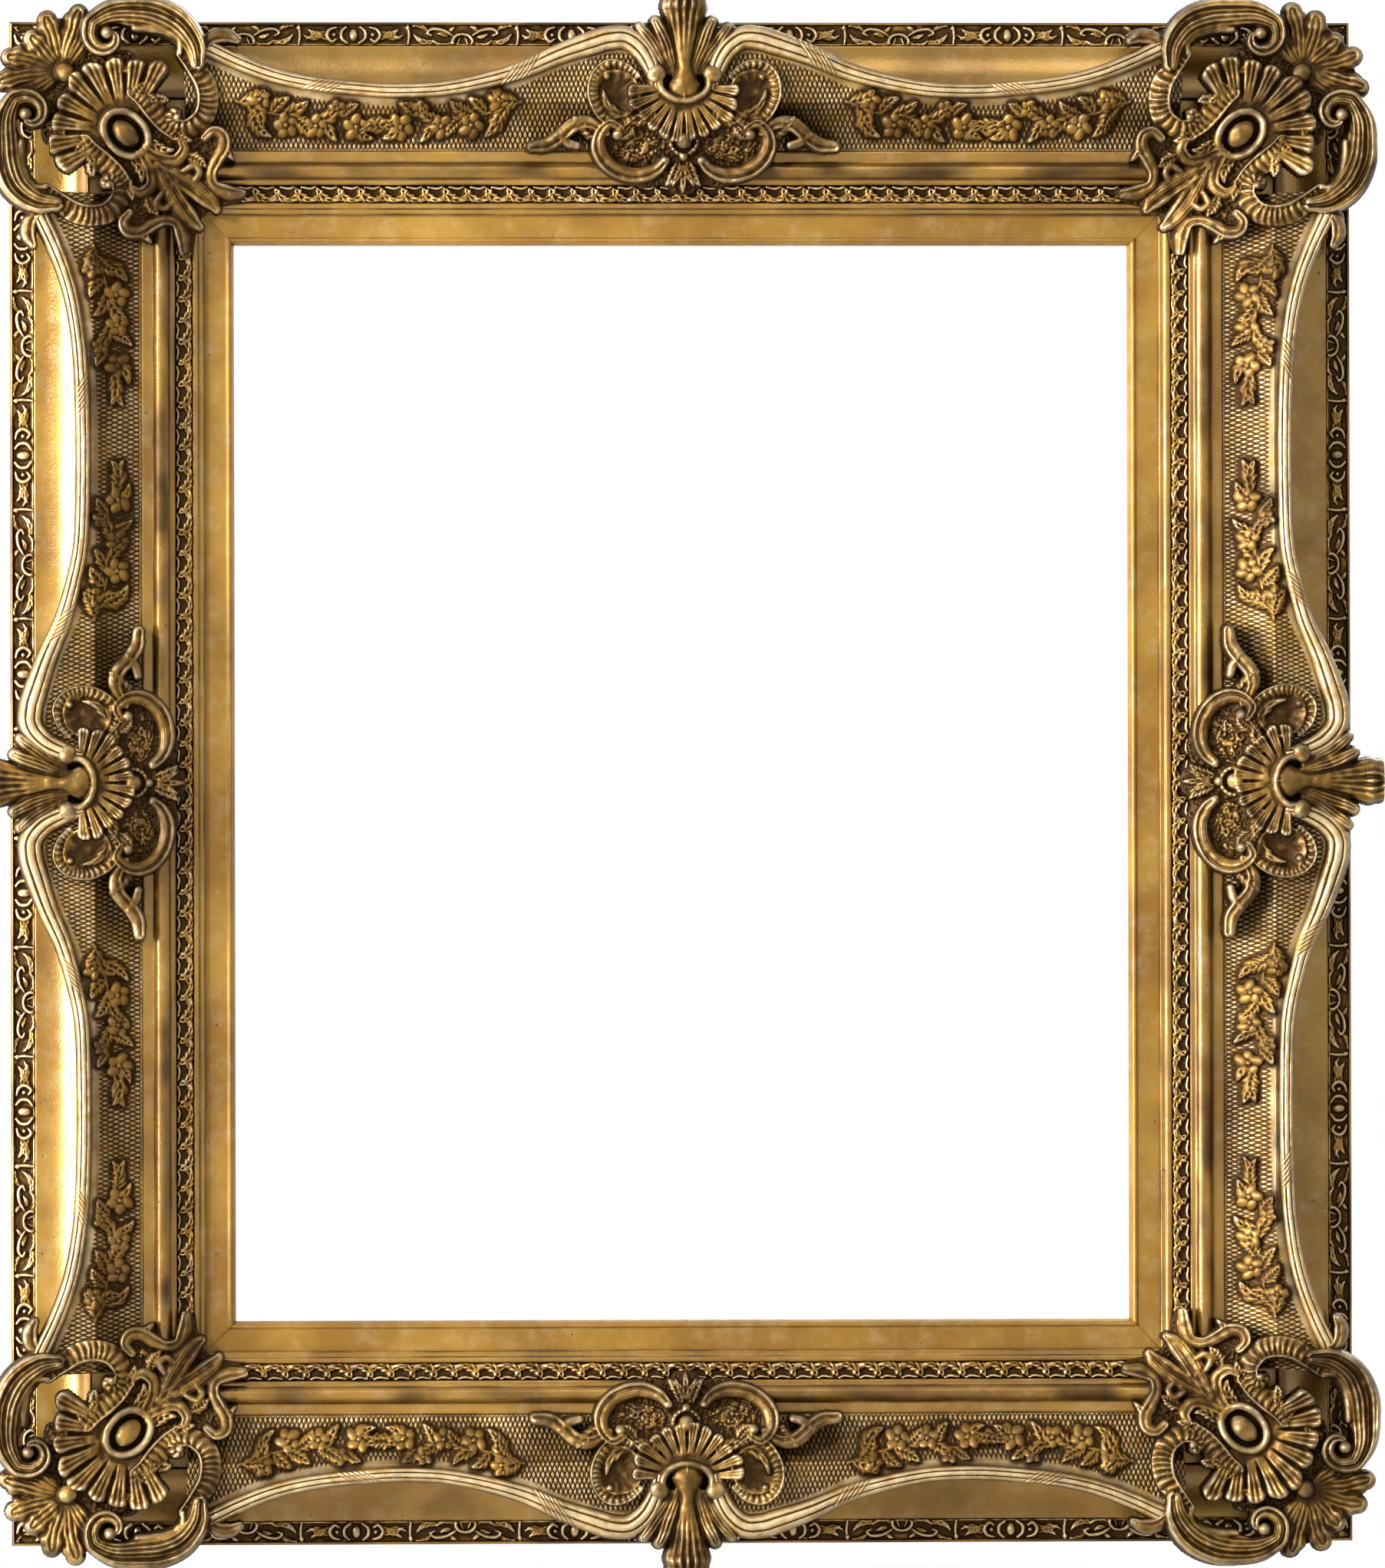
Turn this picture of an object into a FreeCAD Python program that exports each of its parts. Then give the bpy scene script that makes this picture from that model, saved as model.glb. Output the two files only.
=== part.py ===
import FreeCAD, Part
import math
import os
import Sketcher

# Swept picture frame with pierced corner and centre cartouches.
# A mitred pine back frame carries a mitred moulding (lip, cove, torus and steps), on which sit the
# swept panels with their reeded rims, two ornament strips, the cast cartouches and a loose inner slip.
# World axes: the front looks along -Y, +Z is up, and the wall touches the back at Y = 0.
# The origin is the middle of the back face of the top back-frame rail.
# Each rail is drawn in its own axes: X runs along it, Y is the height off the wall, and Z is the
# distance in from the outer edge of the frame.

Vector = FreeCAD.Vector
DOC = FreeCAD.newDocument("gilded_frame")
SHEET = DOC.addObject("Spreadsheet::Sheet", "Sizes")

SIZES = [
    ("sight_width", 508.0, "width of the open sight"),
    ("sight_height", 610.0, "height of the open sight"),
    # Bands of the moulding, from the outer edge inwards; together they make the width of a rail.
    ("lip_width", 1.3, "thin outer lip"),
    ("outer_strip_width", 12.1, "outer ornament strip"),
    ("cove_margin", 1.1, "flat between strip and cove"),
    ("cove_width", 29.5, "plain cove"),
    ("slope_width", 30.0, "hatched slope of the swept panel"),
    ("fillet_width", 6.8, "flat fillet"),
    ("torus_width", 9.0, "half-round torus"),
    ("small_fillet_width", 3.4, "small fillet under the torus"),
    ("inner_strip_width", 9.8, "inner ornament strip"),
    ("step_width", 3.4, "each of the two steps over the slip"),
    ("slip_flat_width", 13.2, "flat of the slip"),
    ("sight_bevel_width", 4.0, "bead and bevel at the sight edge"),
    # Heights of the moulding off the wall.
    ("edge_top", 22.0, "upper edge of the moulding's side"),
    ("lip_height", 23.5, "outer lip"),
    ("strip_bed", 20.5, "bed of the outer strip"),
    ("cove_foot", 25.5, "foot of the cove"),
    ("panel_underside", 52.0, "underside of the panel's board"),
    ("panel_seat", 36.0, "bed under the panel's slope"),
    ("fillet_height", 41.0, "flat fillet"),
    ("small_fillet_height", 39.0, "small fillet"),
    ("inner_bed", 32.0, "bed of the inner strip"),
    ("step_one_height", 34.0, "first step"),
    ("step_two_height", 32.0, "second step"),
    ("rebate_top", 28.0, "front face of the slip's rebate"),
    ("moulding_back", 6.0, "back face of the moulding inside the back frame"),
    # Back frame of pine.
    ("back_frame_inset", 8.0, "outer edge of the back frame, in from the frame's edge"),
    ("back_frame_width", 52.0, "width of a back-frame rail"),
    ("back_frame_depth", 16.0, "depth of a back-frame rail"),
    ("key_leg", 38.0, "leg of a corner key"),
    ("key_thickness", 3.0, "thickness of a corner key"),
    ("key_height", 6.5, "near face of a corner key, off the wall"),
    # Swept panel and rim.
    ("plateau_height", 60.0, "flat top of the swept panel"),
    ("hatch_margin", 2.8, "plain margin before the hatched slope"),
    ("slope_foot", 40.0, "foot of the hatched slope"),
    ("slope_radius", 45.0, "hollow of the hatched slope"),
    ("rim_waist", 40.7, "rim centre line at its narrowest, in from the frame's edge"),
    ("rim_rise", 6.5, "height of the rim over the panel"),
    ("rim_half_width", 4.4, "half the rim's width at its narrowest"),
    # Ornament strips.
    ("outer_strip_low", 2.8, "outer strip at its outer side, over its bed"),
    ("outer_strip_high", 6.2, "outer strip at its inner side, over its bed"),
    ("inner_strip_high", 5.5, "inner strip at its outer side, over its bed"),
    ("inner_strip_low", 3.6, "inner strip at its inner side, over its bed"),
    # Slip.
    ("slip_thickness", 8.0, "thickness of the slip"),
    ("slip_clearance", 0.5, "gap between slip and rebate wall"),
    ("sight_bead", 0.8, "bead over the slip's flat"),
    ("sight_drop", 1.6, "sight edge below the slip's flat"),
    # Cartouches.
    ("corner_reach", 100.0, "scale of the corner cartouche's outline"),
    ("centre_reach", 100.0, "scale of the centre cartouche's outline"),
    ("relief", 6.0, "body of a cartouche over the panel"),
    ("scroll_rise", 11.0, "large scrolls over the cartouche's body"),
    ("band_rise", 5.5, "small scrolls over the cartouche's body"),
    ("lobe_rise", 4.5, "leaves and shell ribs over the cartouche's body"),
    ("sink", 6.0, "depth to which scrolls and leaves go into the body"),
    ("rim_sag", 0.7, "how far a rim's facets stray from its curve"),
    ("scroll_sag", 1.5, "how far a scroll's facets stray from its curve"),
    # Ring hangers.
    ("hanger_drop", 110.0, "hanger pivot below the top of the sight"),
    ("hanger_inset", 74.0, "hanger in from the frame's outer edge"),
    ("strap_width", 14.0, "width of a hanger's strap"),
    ("strap_length", 46.0, "strap below the pivot"),
    ("strap_thickness", 1.1, "thickness of the strap"),
    ("strap_chamfer", 3.0, "clipped lower corners of the strap"),
    ("ring_drop", 5.0, "centre of the ring's bow below the pivot"),
    ("ring_wire", 1.5, "radius of the ring's wire"),
    ("ring_reach", 12.0, "radius of the ring's bow"),
    ("pivot_clearance", 0.3, "play of a ring or button on its pivot"),
    # Turn buttons.
    ("button_pivot", 88.0, "pivot of a turn button, in from the frame's outer edge"),
    ("button_length", 44.0, "length of a turn button"),
    ("button_width", 12.0, "width of a turn button"),
    ("button_thickness", 1.4, "thickness of a turn button"),
    ("button_clip", 3.5, "clipped corners of a turn button"),
    ("button_span", 200.0, "distance between the two buttons of a side rail"),
    ("seat_gap", 0.3, "play between a turning piece and what it lies on"),
    # Screws.
    ("screw_radius", 1.5, "radius of a screw's shank"),
    ("screw_head_radius", 3.2, "radius of a screw's head"),
    ("screw_head_height", 1.2, "height of a screw's head"),
    ("screw_depth", 12.0, "length of a screw inside the wood"),
    ("overrun", 1.0, "how far a cut runs past what it cuts"),
]

for row, (alias, value, note) in enumerate(SIZES, start=1):
    SHEET.set("A%d" % row, alias)
    SHEET.set("B%d" % row, str(value))
    SHEET.setAlias("B%d" % row, alias)
    SHEET.set("C%d" % row, note)
DOC.recompute()


def total(*names):
    """Expression that adds sizes of the sheet."""
    return "(" + " + ".join("Sizes." + name for name in names) + ")"


def size(expression):
    """Value of an expression on the sheet, in millimetres."""
    return float(SHEET.evalExpression(expression))


ZERO = "0"
STRIP_START = total("lip_width")
STRIP_END = total("lip_width", "outer_strip_width")
COVE_START = total("lip_width", "outer_strip_width", "cove_margin")
COVE_END = total("lip_width", "outer_strip_width", "cove_margin", "cove_width")
SLOPE_END = "(%s + Sizes.slope_width)" % COVE_END
FILLET_END = "(%s + Sizes.fillet_width)" % SLOPE_END
TORUS_END = "(%s + Sizes.torus_width)" % FILLET_END
INNER_START = "(%s + Sizes.small_fillet_width)" % TORUS_END
INNER_END = "(%s + Sizes.inner_strip_width)" % INNER_START
STEP_END = "(%s + Sizes.step_width)" % INNER_END
LIP_END = "(%s + Sizes.step_width)" % STEP_END
BEVEL_START = "(%s + Sizes.slip_flat_width)" % LIP_END
RAIL_WIDTH = "(%s + Sizes.sight_bevel_width)" % BEVEL_START
BACK_INNER = total("back_frame_inset", "back_frame_width")
COVE_RISE = "(Sizes.panel_underside - Sizes.cove_foot)"
COVE_RADIUS = "((Sizes.cove_width * Sizes.cove_width + %s * %s) / (2 * %s))" % (
    COVE_RISE, COVE_RISE, COVE_RISE)
COVE_CENTRE = "(Sizes.cove_foot + %s)" % COVE_RADIUS
OUTER_WIDTH = "(Sizes.sight_width + 2 * %s)" % RAIL_WIDTH
OUTER_HEIGHT = "(Sizes.sight_height + 2 * %s)" % RAIL_WIDTH
ORIGIN_DROP = "(Sizes.back_frame_inset + Sizes.back_frame_width / 2)"
RUNS = {"level": OUTER_WIDTH, "upright": OUTER_HEIGHT}

# Each side of the frame: its name, its kind of run, and its turn about Y from the top rail.
SIDES = [("top", "level", 0), ("right", "upright", 90), ("bottom", "level", 180), ("left", "upright", 270)]
CORNERS = [("top_left", 0), ("top_right", 90), ("bottom_right", 180), ("bottom_left", 270)]

rail_width = size(RAIL_WIDTH)
half_width = size(OUTER_WIDTH) / 2
half_height = size(OUTER_HEIGHT) / 2
centre_drop = half_height - size(ORIGIN_DROP)


def side_placement(turn):
    """Placement of a rail's own axes on the side that is turned by so many degrees from the top."""
    reach = half_height if turn % 180 == 0 else half_width
    flip = FreeCAD.Rotation(Vector(1, 0, 0), 180)
    swing = FreeCAD.Rotation(Vector(0, 1, 0), turn)
    outer_edge = swing.multVec(Vector(0, 0, reach))
    return FreeCAD.Placement(outer_edge - Vector(0, 0, centre_drop), swing.multiply(flip))


def corner_placement(turn):
    """Placement of a corner's own axes, whose X and Z both run inwards from the outer corner."""
    along = half_width if turn % 180 == 0 else half_height
    side = side_placement(turn)
    return side.multiply(FreeCAD.Placement(Vector(-along, 0, 0), FreeCAD.Rotation()))


def add_feature(label, shape, placement):
    """Sub-part with a shape of its own."""
    feature = DOC.addObject("Part::Feature", label)
    feature.Shape = shape
    feature.Placement = placement
    feature.Label = label
    return feature


# Sketches bound to the sheet.
def plane_of(body, role):
    """Origin plane of a body."""
    return next(feature for feature in body.Origin.OriginFeatures if feature.Role == role)


def bind(sketch, kind, geometry, point, expression):
    """Holds one coordinate of a sketch point at an expression."""
    if expression == ZERO:
        axis = -2 if kind == "DistanceX" else -1
        sketch.addConstraint(Sketcher.Constraint("PointOnObject", geometry, point, axis))
        return
    constraint = Sketcher.Constraint(kind, -1, 1, geometry, point, size(expression))
    number = sketch.addConstraint(constraint)
    sketch.setExpression("Constraints[%d]" % number, expression)


def sketch_on(body, name, role):
    """Empty sketch on an origin plane of its body."""
    sketch = body.newObject("Sketcher::SketchObject", name)
    sketch.AttachmentSupport = (plane_of(body, role), "")
    sketch.MapMode = "FlatFace"
    return sketch


def arc_edge(start, end, centre_x, turn):
    """Arc from start to end; turn is 1 for an anticlockwise arc and -1 for a clockwise one."""
    near = (centre_x - start.x) ** 2 + start.y ** 2
    far = (centre_x - end.x) ** 2 + end.y ** 2
    centre = Vector(centre_x, (far - near) / (2 * (end.y - start.y)), 0)
    first, last = (start, end) if turn > 0 else (end, start)
    angles = [math.atan2(point.y - centre.y, point.x - centre.x) for point in (first, last)]
    circle = Part.Circle(centre, Vector(0, 0, 1), start.distanceToPoint(centre))
    return Part.ArcOfCircle(circle, angles[0], angles[1])


def draw_outline(sketch, corners):
    """Closed outline through corners (x, y) or, where an arc starts, (x, y, centre x, turn)."""
    points = [Vector(size(corner[0]), size(corner[1]), 0) for corner in corners]
    first = sketch.GeometryCount
    ends = []
    for index, corner in enumerate(corners):
        start = points[index]
        end = points[(index + 1) % len(points)]
        if len(corner) == 2:
            sketch.addGeometry(Part.LineSegment(start, end), False)
            ends.append((1, 2))
            continue
        sketch.addGeometry(arc_edge(start, end, size(corner[2]), corner[3]), False)
        ends.append((1, 2) if corner[3] > 0 else (2, 1))
    for index, corner in enumerate(corners):
        following = (index + 1) % len(corners)
        sketch.addConstraint(Sketcher.Constraint(
            "Coincident", first + index, ends[index][1], first + following, ends[following][0]))
        bind(sketch, "DistanceX", first + index, ends[index][0], corner[0])
        bind(sketch, "DistanceY", first + index, ends[index][0], corner[1])
        if len(corner) == 4:
            bind(sketch, "DistanceX", first + index, 3, corner[2])
    return sketch


# Sides of a small round bore or shank.
ROUND_SIDES = 12


def round_corners(across, along, radius):
    """Corners of a small round outline about a centre."""
    corners = []
    for step in range(ROUND_SIDES):
        angle = 2 * math.pi * step / ROUND_SIDES
        corners.append(("(%s + %s * %.6f)" % (across, radius, math.cos(angle)),
                        "(%s + %s * %.6f)" % (along, radius, math.sin(angle))))
    return corners


def run_body(label, profile, run):
    """Rail of a constant profile, whose corners are (distance in, height), mitred at both ends."""
    body = DOC.addObject("PartDesign::Body", label)
    outline = sketch_on(body, label + "_profile", "YZ_Plane")
    draw_outline(outline, [(corner[1], corner[0]) + tuple(corner[2:]) for corner in profile])
    pad = body.newObject("PartDesign::Pad", label + "_run")
    pad.Profile = outline
    pad.SideType = "Symmetric"
    pad.setExpression("Length", run)
    mitre = sketch_on(body, label + "_mitres", "XZ_Plane")
    for index, sign in enumerate(("", "-")):
        near = "%s(%s / 2 + Sizes.overrun)" % (sign, run)
        far = "%s(%s / 2 - %s - Sizes.overrun)" % (sign, run, RAIL_WIDTH)
        inner = "(%s + Sizes.overrun)" % RAIL_WIDTH
        draw_triangle(mitre, index * 3, [(near, "-Sizes.overrun"), (near, inner), (far, inner)])
    cut = body.newObject("PartDesign::Pocket", label + "_mitre_cuts")
    cut.Profile = mitre
    cut.Type = "ThroughAll"
    cut.SideType = "Symmetric"
    body.Tip = cut
    return body


def draw_triangle(sketch, first, corners):
    """Triangle whose three lines are numbered from first."""
    points = [Vector(size(corner[0]), size(corner[1]), 0) for corner in corners]
    for index in range(3):
        sketch.addGeometry(Part.LineSegment(points[index], points[(index + 1) % 3]), False)
    for index, corner in enumerate(corners):
        following = (index + 1) % 3
        sketch.addConstraint(Sketcher.Constraint("Coincident", first + index, 2, first + following, 1))
        bind(sketch, "DistanceX", first + index, 1, corner[0])
        bind(sketch, "DistanceY", first + index, 1, corner[1])


def screw_bores(body, name, height, places):
    """Blind screw holes into a rail from a height off the wall, at places (along, distance in)."""
    sketch = sketch_on(body, name + "_places", "XZ_Plane")
    sketch.setExpression("AttachmentOffset.Base.z", "-" + height)
    for across, along in places:
        draw_outline(sketch, round_corners(across, along, "Sizes.screw_radius"))
    holes = body.newObject("PartDesign::Pocket", name)
    holes.Profile = sketch
    holes.Type = "Length"
    holes.setExpression("Length", "Sizes.screw_depth")
    body.Tip = holes


# Moulding profile, from the lower outer edge over the front and back along the rebate.
MOULDING = [
    (ZERO, "Sizes.back_frame_depth"),
    (ZERO, "Sizes.edge_top"),
    (STRIP_START, "Sizes.lip_height"),
    (STRIP_START, "Sizes.strip_bed"),
    (STRIP_END, "Sizes.strip_bed"),
    (STRIP_END, "Sizes.cove_foot"),
    (COVE_START, "Sizes.cove_foot", COVE_CENTRE, -1),
    (COVE_END, "Sizes.panel_underside"),
    (COVE_END, "Sizes.panel_seat"),
    (SLOPE_END, "Sizes.panel_seat"),
    (SLOPE_END, "Sizes.fillet_height"),
    (FILLET_END, "Sizes.fillet_height", "Sizes.fillet_height", 1),
    (TORUS_END, "Sizes.fillet_height"),
    (TORUS_END, "Sizes.small_fillet_height"),
    (INNER_START, "Sizes.small_fillet_height"),
    (INNER_START, "Sizes.inner_bed"),
    (INNER_END, "Sizes.inner_bed"),
    (INNER_END, "Sizes.step_one_height"),
    (STEP_END, "Sizes.step_one_height"),
    (STEP_END, "Sizes.step_two_height"),
    (LIP_END, "Sizes.step_two_height"),
    (LIP_END, "Sizes.rebate_top"),
    (INNER_END, "Sizes.rebate_top"),
    (INNER_END, "Sizes.moulding_back"),
    (BACK_INNER, "Sizes.moulding_back"),
    (BACK_INNER, "Sizes.back_frame_depth"),
]

BACK_FRAME = [
    ("Sizes.back_frame_inset", ZERO),
    ("Sizes.back_frame_inset", "Sizes.back_frame_depth"),
    (BACK_INNER, "Sizes.back_frame_depth"),
    (BACK_INNER, ZERO),
]

OUTER_STRIP = [
    (STRIP_START, "Sizes.strip_bed"),
    (STRIP_START, "(Sizes.strip_bed + Sizes.outer_strip_low)"),
    (STRIP_END, "(Sizes.strip_bed + Sizes.outer_strip_high)"),
    (STRIP_END, "Sizes.strip_bed"),
]

INNER_STRIP = [
    (INNER_START, "Sizes.inner_bed"),
    (INNER_START, "(Sizes.inner_bed + Sizes.inner_strip_high)"),
    (INNER_END, "(Sizes.inner_bed + Sizes.inner_strip_low)"),
    (INNER_END, "Sizes.inner_bed"),
]

SLIP_BACK = "(Sizes.rebate_top - Sizes.slip_thickness)"
SLIP_OUTER = "(%s + Sizes.slip_clearance)" % INNER_END
BEAD_SHOULDER = "(%s + Sizes.sight_bead)" % BEVEL_START
BEAD_END = "(%s + Sizes.sight_bevel_width / 2)" % BEVEL_START
SLIP = [
    (SLIP_OUTER, SLIP_BACK),
    (SLIP_OUTER, "Sizes.rebate_top"),
    (BEVEL_START, "Sizes.rebate_top"),
    (BEAD_SHOULDER, "(Sizes.rebate_top + Sizes.sight_bead)"),
    (BEAD_END, "(Sizes.rebate_top + Sizes.sight_bead)"),
    (RAIL_WIDTH, "(Sizes.rebate_top - Sizes.sight_drop)"),
    (RAIL_WIDTH, SLIP_BACK),
]


def key_slots(body, run):
    """Slots for the corner keys, sawn across the outer corners of the back frame."""
    sketch = sketch_on(body, body.Label + "_key_slots", "XZ_Plane")
    sketch.setExpression("AttachmentOffset.Base.z", "-Sizes.key_height")
    for index, sign in enumerate(("", "-")):
        corner = "%s(%s / 2 - Sizes.back_frame_inset)" % (sign, run)
        leg = "%s(%s / 2 - Sizes.back_frame_inset - Sizes.key_leg)" % (sign, run)
        edge = "Sizes.back_frame_inset"
        inner = "(Sizes.back_frame_inset + Sizes.key_leg)"
        draw_triangle(sketch, index * 3, [(corner, edge), (corner, inner), (leg, edge)])
    cut = body.newObject("PartDesign::Pocket", body.Label + "_key_cuts")
    cut.Profile = sketch
    cut.Type = "Length"
    cut.Reversed = False
    cut.setExpression("Length", "Sizes.key_thickness")
    body.Tip = cut


# Places of a strap's two screws below its pivot, as shares of its length.
STRAP_HOLE_SHARES = (0.52, 0.84)
HANGER_PIVOT = "(Sizes.sight_height / 2 - Sizes.hanger_drop)"
STRAP_SCREWS = ["(%s - Sizes.strap_length * %s)" % (HANGER_PIVOT, share) for share in STRAP_HOLE_SHARES]
BUTTON_PIVOTS = {
    "level": [ZERO],
    "upright": ["-Sizes.button_span / 2", "Sizes.button_span / 2"],
}

rails = {}
for side, kind, turn in SIDES:
    run = RUNS[kind]
    back = run_body("back_frame_" + side, BACK_FRAME, run)
    key_slots(back, run)
    moulding = run_body("moulding_" + side, MOULDING, run)
    places = [(pivot, "Sizes.button_pivot") for pivot in BUTTON_PIVOTS[kind]]
    if kind == "upright":
        upwards = "" if side == "left" else "-"
        places += [(upwards + place, "Sizes.hanger_inset") for place in STRAP_SCREWS]
    screw_bores(moulding, "screw_bores_" + side, "Sizes.moulding_back", places)
    rails[side] = {
        "back_frame": back,
        "moulding": moulding,
        "outer_strip": run_body("outer_strip_" + side, OUTER_STRIP, run),
        "inner_strip": run_body("inner_strip_" + side, INNER_STRIP, run),
        "slip": run_body("slip_" + side, SLIP, run),
    }
DOC.recompute()

# Sizes read from the sheet for the pieces that are lofted and cut to shape.
cove_end = size(COVE_END)
slope_end = size(SLOPE_END)
torus_end = size(TORUS_END)
plateau = size("Sizes.plateau_height")
relief = size("Sizes.relief")
sink = size("Sizes.sink")
rim_sag = size("Sizes.rim_sag")
scroll_sag = size("Sizes.scroll_sag")
overrun = size("Sizes.overrun")
corner_reach = size("Sizes.corner_reach")
centre_reach = size("Sizes.centre_reach")
rim_waist = size("Sizes.rim_waist")
rim_half_width = size("Sizes.rim_half_width")
rim_rise = size("Sizes.rim_rise")
scroll_rise = size("Sizes.scroll_rise")
band_rise = size("Sizes.band_rise")
lobe_rise = size("Sizes.lobe_rise")

# Rim centre line near the middle of a side: distance from the middle as a share of the centre
# cartouche's scale, distance in as a share of the waist, and half width as a share of the waist's.
RIM_CENTRE_SHARES = [
    (0.153, 1.03, 0.91), (0.17, 0.79, 1.25), (0.23, 0.47, 1.55), (0.32, 0.283, 1.66), (0.42, 0.275, 1.7),
    (0.52, 0.344, 1.68), (0.71, 0.504, 1.43), (0.916, 0.72, 1.23), (1.138, 0.872, 1.09), (1.36, 0.973, 1.02),
]
# The same near a corner, with the distance from the outer corner as a share of the corner's scale.
RIM_CORNER_SHARES = [
    (1.95, 0.97, 1.0), (1.75, 0.921, 1.0), (1.57, 0.843, 1.05), (1.42, 0.737, 1.09), (1.27, 0.59, 1.14),
    (1.13, 0.43, 1.25), (1.0, 0.295, 1.36),
]
# Places of the two waist points, as shares of the stretch between centre and corner.
WAIST_SHARES = (1 / 3, 2 / 3)
# Husk leaf on a rim: root and tip from the outer corner, and half its width, as shares.
RIM_SPIKE_SHARES = (1.3, 0.27, 1.355, 0.1, 0.03)
RIM_SPIKE_TAPER_SHARES = [(0.0, 0.8), (0.5, 1.0), (1.0, 0.3)]
# Cross-sections of a broad scroll and of a ridged leaf: place across as a share of the half width,
# and height as a share of the rise.
SCROLL_SHARES = [(-1.0, 0.0), (-0.55, 0.85), (0.55, 0.85), (1.0, 0.0)]
RIDGE_SHARES = [(-1.0, 0.0), (0.0, 1.0), (1.0, 0.0)]
# Tolerance for joining facets, as a share of a cut's overrun.
SEAM_SHARE = 0.0001
# Stations of a leaf or shell rib: place along it, width and rise, as shares.
LOBE_SHARES = [(0.0, 1.0, 1.0), (1.0, 0.7, 0.4)]
# Levels of a boss: radius and height, as shares.
DOME_SHARES = [(1.0, 0.0), (0.9, 0.55), (0.5, 1.0)]


# Cover of a cartouche's body over the torus and over the slip, as shares of its relief.
TORUS_COVER_SHARE = 0.5
SLIP_COVER_SHARE = 0.6
# Heights of a cartouche's body, (distance in, height), which follow the moulding below it.
ROOF = [
    (cove_end, plateau + relief),
    (torus_end, size("Sizes.fillet_height + Sizes.torus_width / 2") + relief * TORUS_COVER_SHARE),
    (rail_width, size("Sizes.rebate_top") + relief * SLIP_COVER_SHARE),
]


def roof_height(distance_in):
    """Height of a cartouche's body at a distance in from the frame's edge."""
    if distance_in <= ROOF[0][0]:
        return ROOF[0][1]
    for (near, low), (far, high) in zip(ROOF, ROOF[1:]):
        if distance_in <= far:
            return low + (high - low) * (distance_in - near) / (far - near)
    return ROOF[-1][1]


def polygon_prism(points, axis_length):
    """Prism over a closed polygon."""
    return Part.Face(Part.makePolygon(points + points[:1])).extrude(axis_length)


def section_prism(corners, start, end):
    """Prism along X whose section has corners (distance in, height)."""
    points = [Vector(start, height, inset) for inset, height in corners]
    return polygon_prism(points, Vector(end - start, 0, 0))


def faceted(rings):
    """Solid skinned with flat triangles between rings of equally many points."""
    points = [point for ring in rings for point in ring]
    count = len(rings[0])
    facets = []
    for ring in range(len(rings) - 1):
        for index in range(count):
            near = ring * count + index
            beside = ring * count + (index + 1) % count
            facets.append((near, beside, beside + count))
            facets.append((near, beside + count, near + count))
    last = len(points) - count
    for index in range(1, count - 1):
        facets.append((0, index + 1, index))
        facets.append((last, last + index, last + index + 1))
    shell = Part.Shape()
    shell.makeShapeFromMesh((points, facets), size("Sizes.overrun") * SEAM_SHARE)
    solid = Part.Solid(shell.Shells[0])
    if solid.Volume < 0:
        solid.reverse()
    return solid


def ribbon(stations, section):
    """Solid through stations (centre, direction, half width, base height, rise)."""
    rings = []
    for centre, direction, half, base, rise in stations:
        across = Vector(-direction.z, 0, direction.x).normalize()
        points = []
        for side_share, rise_share in section:
            place = centre + across * (half * side_share)
            points.append(Vector(place.x, base + rise * rise_share, place.z))
        rings.append(points)
    return faceted(rings)


def spline(points):
    """Smooth curve through points of the plan."""
    curve = Part.BSplineCurve()
    curve.interpolate(points)
    return curve


def along_spline(rows, sag):
    """Stations (centre, direction, half width) on the spline through rows (x, z, half width)."""
    points = [Vector(x, 0, z) for x, z, half in rows]
    curve = spline(points)
    marks = [curve.parameter(point) for point in points]
    stations = []
    for point in curve.toShape().discretize(QuasiDeflection=sag):
        mark = curve.parameter(point)
        half = rows[-1][2]
        for index in range(len(rows) - 1):
            if marks[index] <= mark <= marks[index + 1]:
                share = (mark - marks[index]) / (marks[index + 1] - marks[index])
                half = rows[index][2] + share * (rows[index + 1][2] - rows[index][2])
                break
        stations.append((point, curve.tangent(mark)[0], half))
    return stations


def scaled(rows, scale):
    """Rows of shares as real sizes."""
    return [tuple(scale * value for value in row) for row in rows]


def volute(rows, centre, sweep, end_radius, end_half, steps):
    """Continues a row of shares in a spiral about a centre, sweep degrees round."""
    last_x, last_z, last_half = rows[-1]
    radius = math.hypot(last_x - centre[0], last_z - centre[1])
    angle = math.atan2(last_z - centre[1], last_x - centre[0])
    spiral = list(rows)
    for step in range(1, steps + 1):
        share = step / steps
        turned = angle + math.radians(sweep) * share
        reach = radius + (end_radius - radius) * share
        half = last_half + (end_half - last_half) * share
        spiral.append((centre[0] + reach * math.cos(turned), centre[1] + reach * math.sin(turned), half))
    return spiral


def band(rows, scale, rise, section, inset_of):
    """Scroll of a cartouche; inset_of gives the distance in from the frame's edge at a point."""
    stations = []
    for centre, direction, half in along_spline(scaled(rows, scale), scroll_sag):
        base = roof_height(inset_of(centre)) - sink
        stations.append((centre, direction, half, base, sink + rise))
    return ribbon(stations, section)


def lobe(row, scale, rise, inset_of):
    """Leaf or shell rib: row is (start x, start z, end x, end z, start width, end width) in shares."""
    start_x, start_z, end_x, end_z, start_width, end_width = (scale * value for value in row)
    start = Vector(start_x, 0, start_z)
    span = Vector(end_x, 0, end_z) - start
    stations = []
    for place, width_share, rise_share in LOBE_SHARES:
        centre = start + span * place
        half = (start_width + (end_width - start_width) * place) * width_share / 2
        base = roof_height(inset_of(centre)) - sink
        stations.append((centre, span, half, base, sink + rise * rise_share))
    return ribbon(stations, RIDGE_SHARES)


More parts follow.
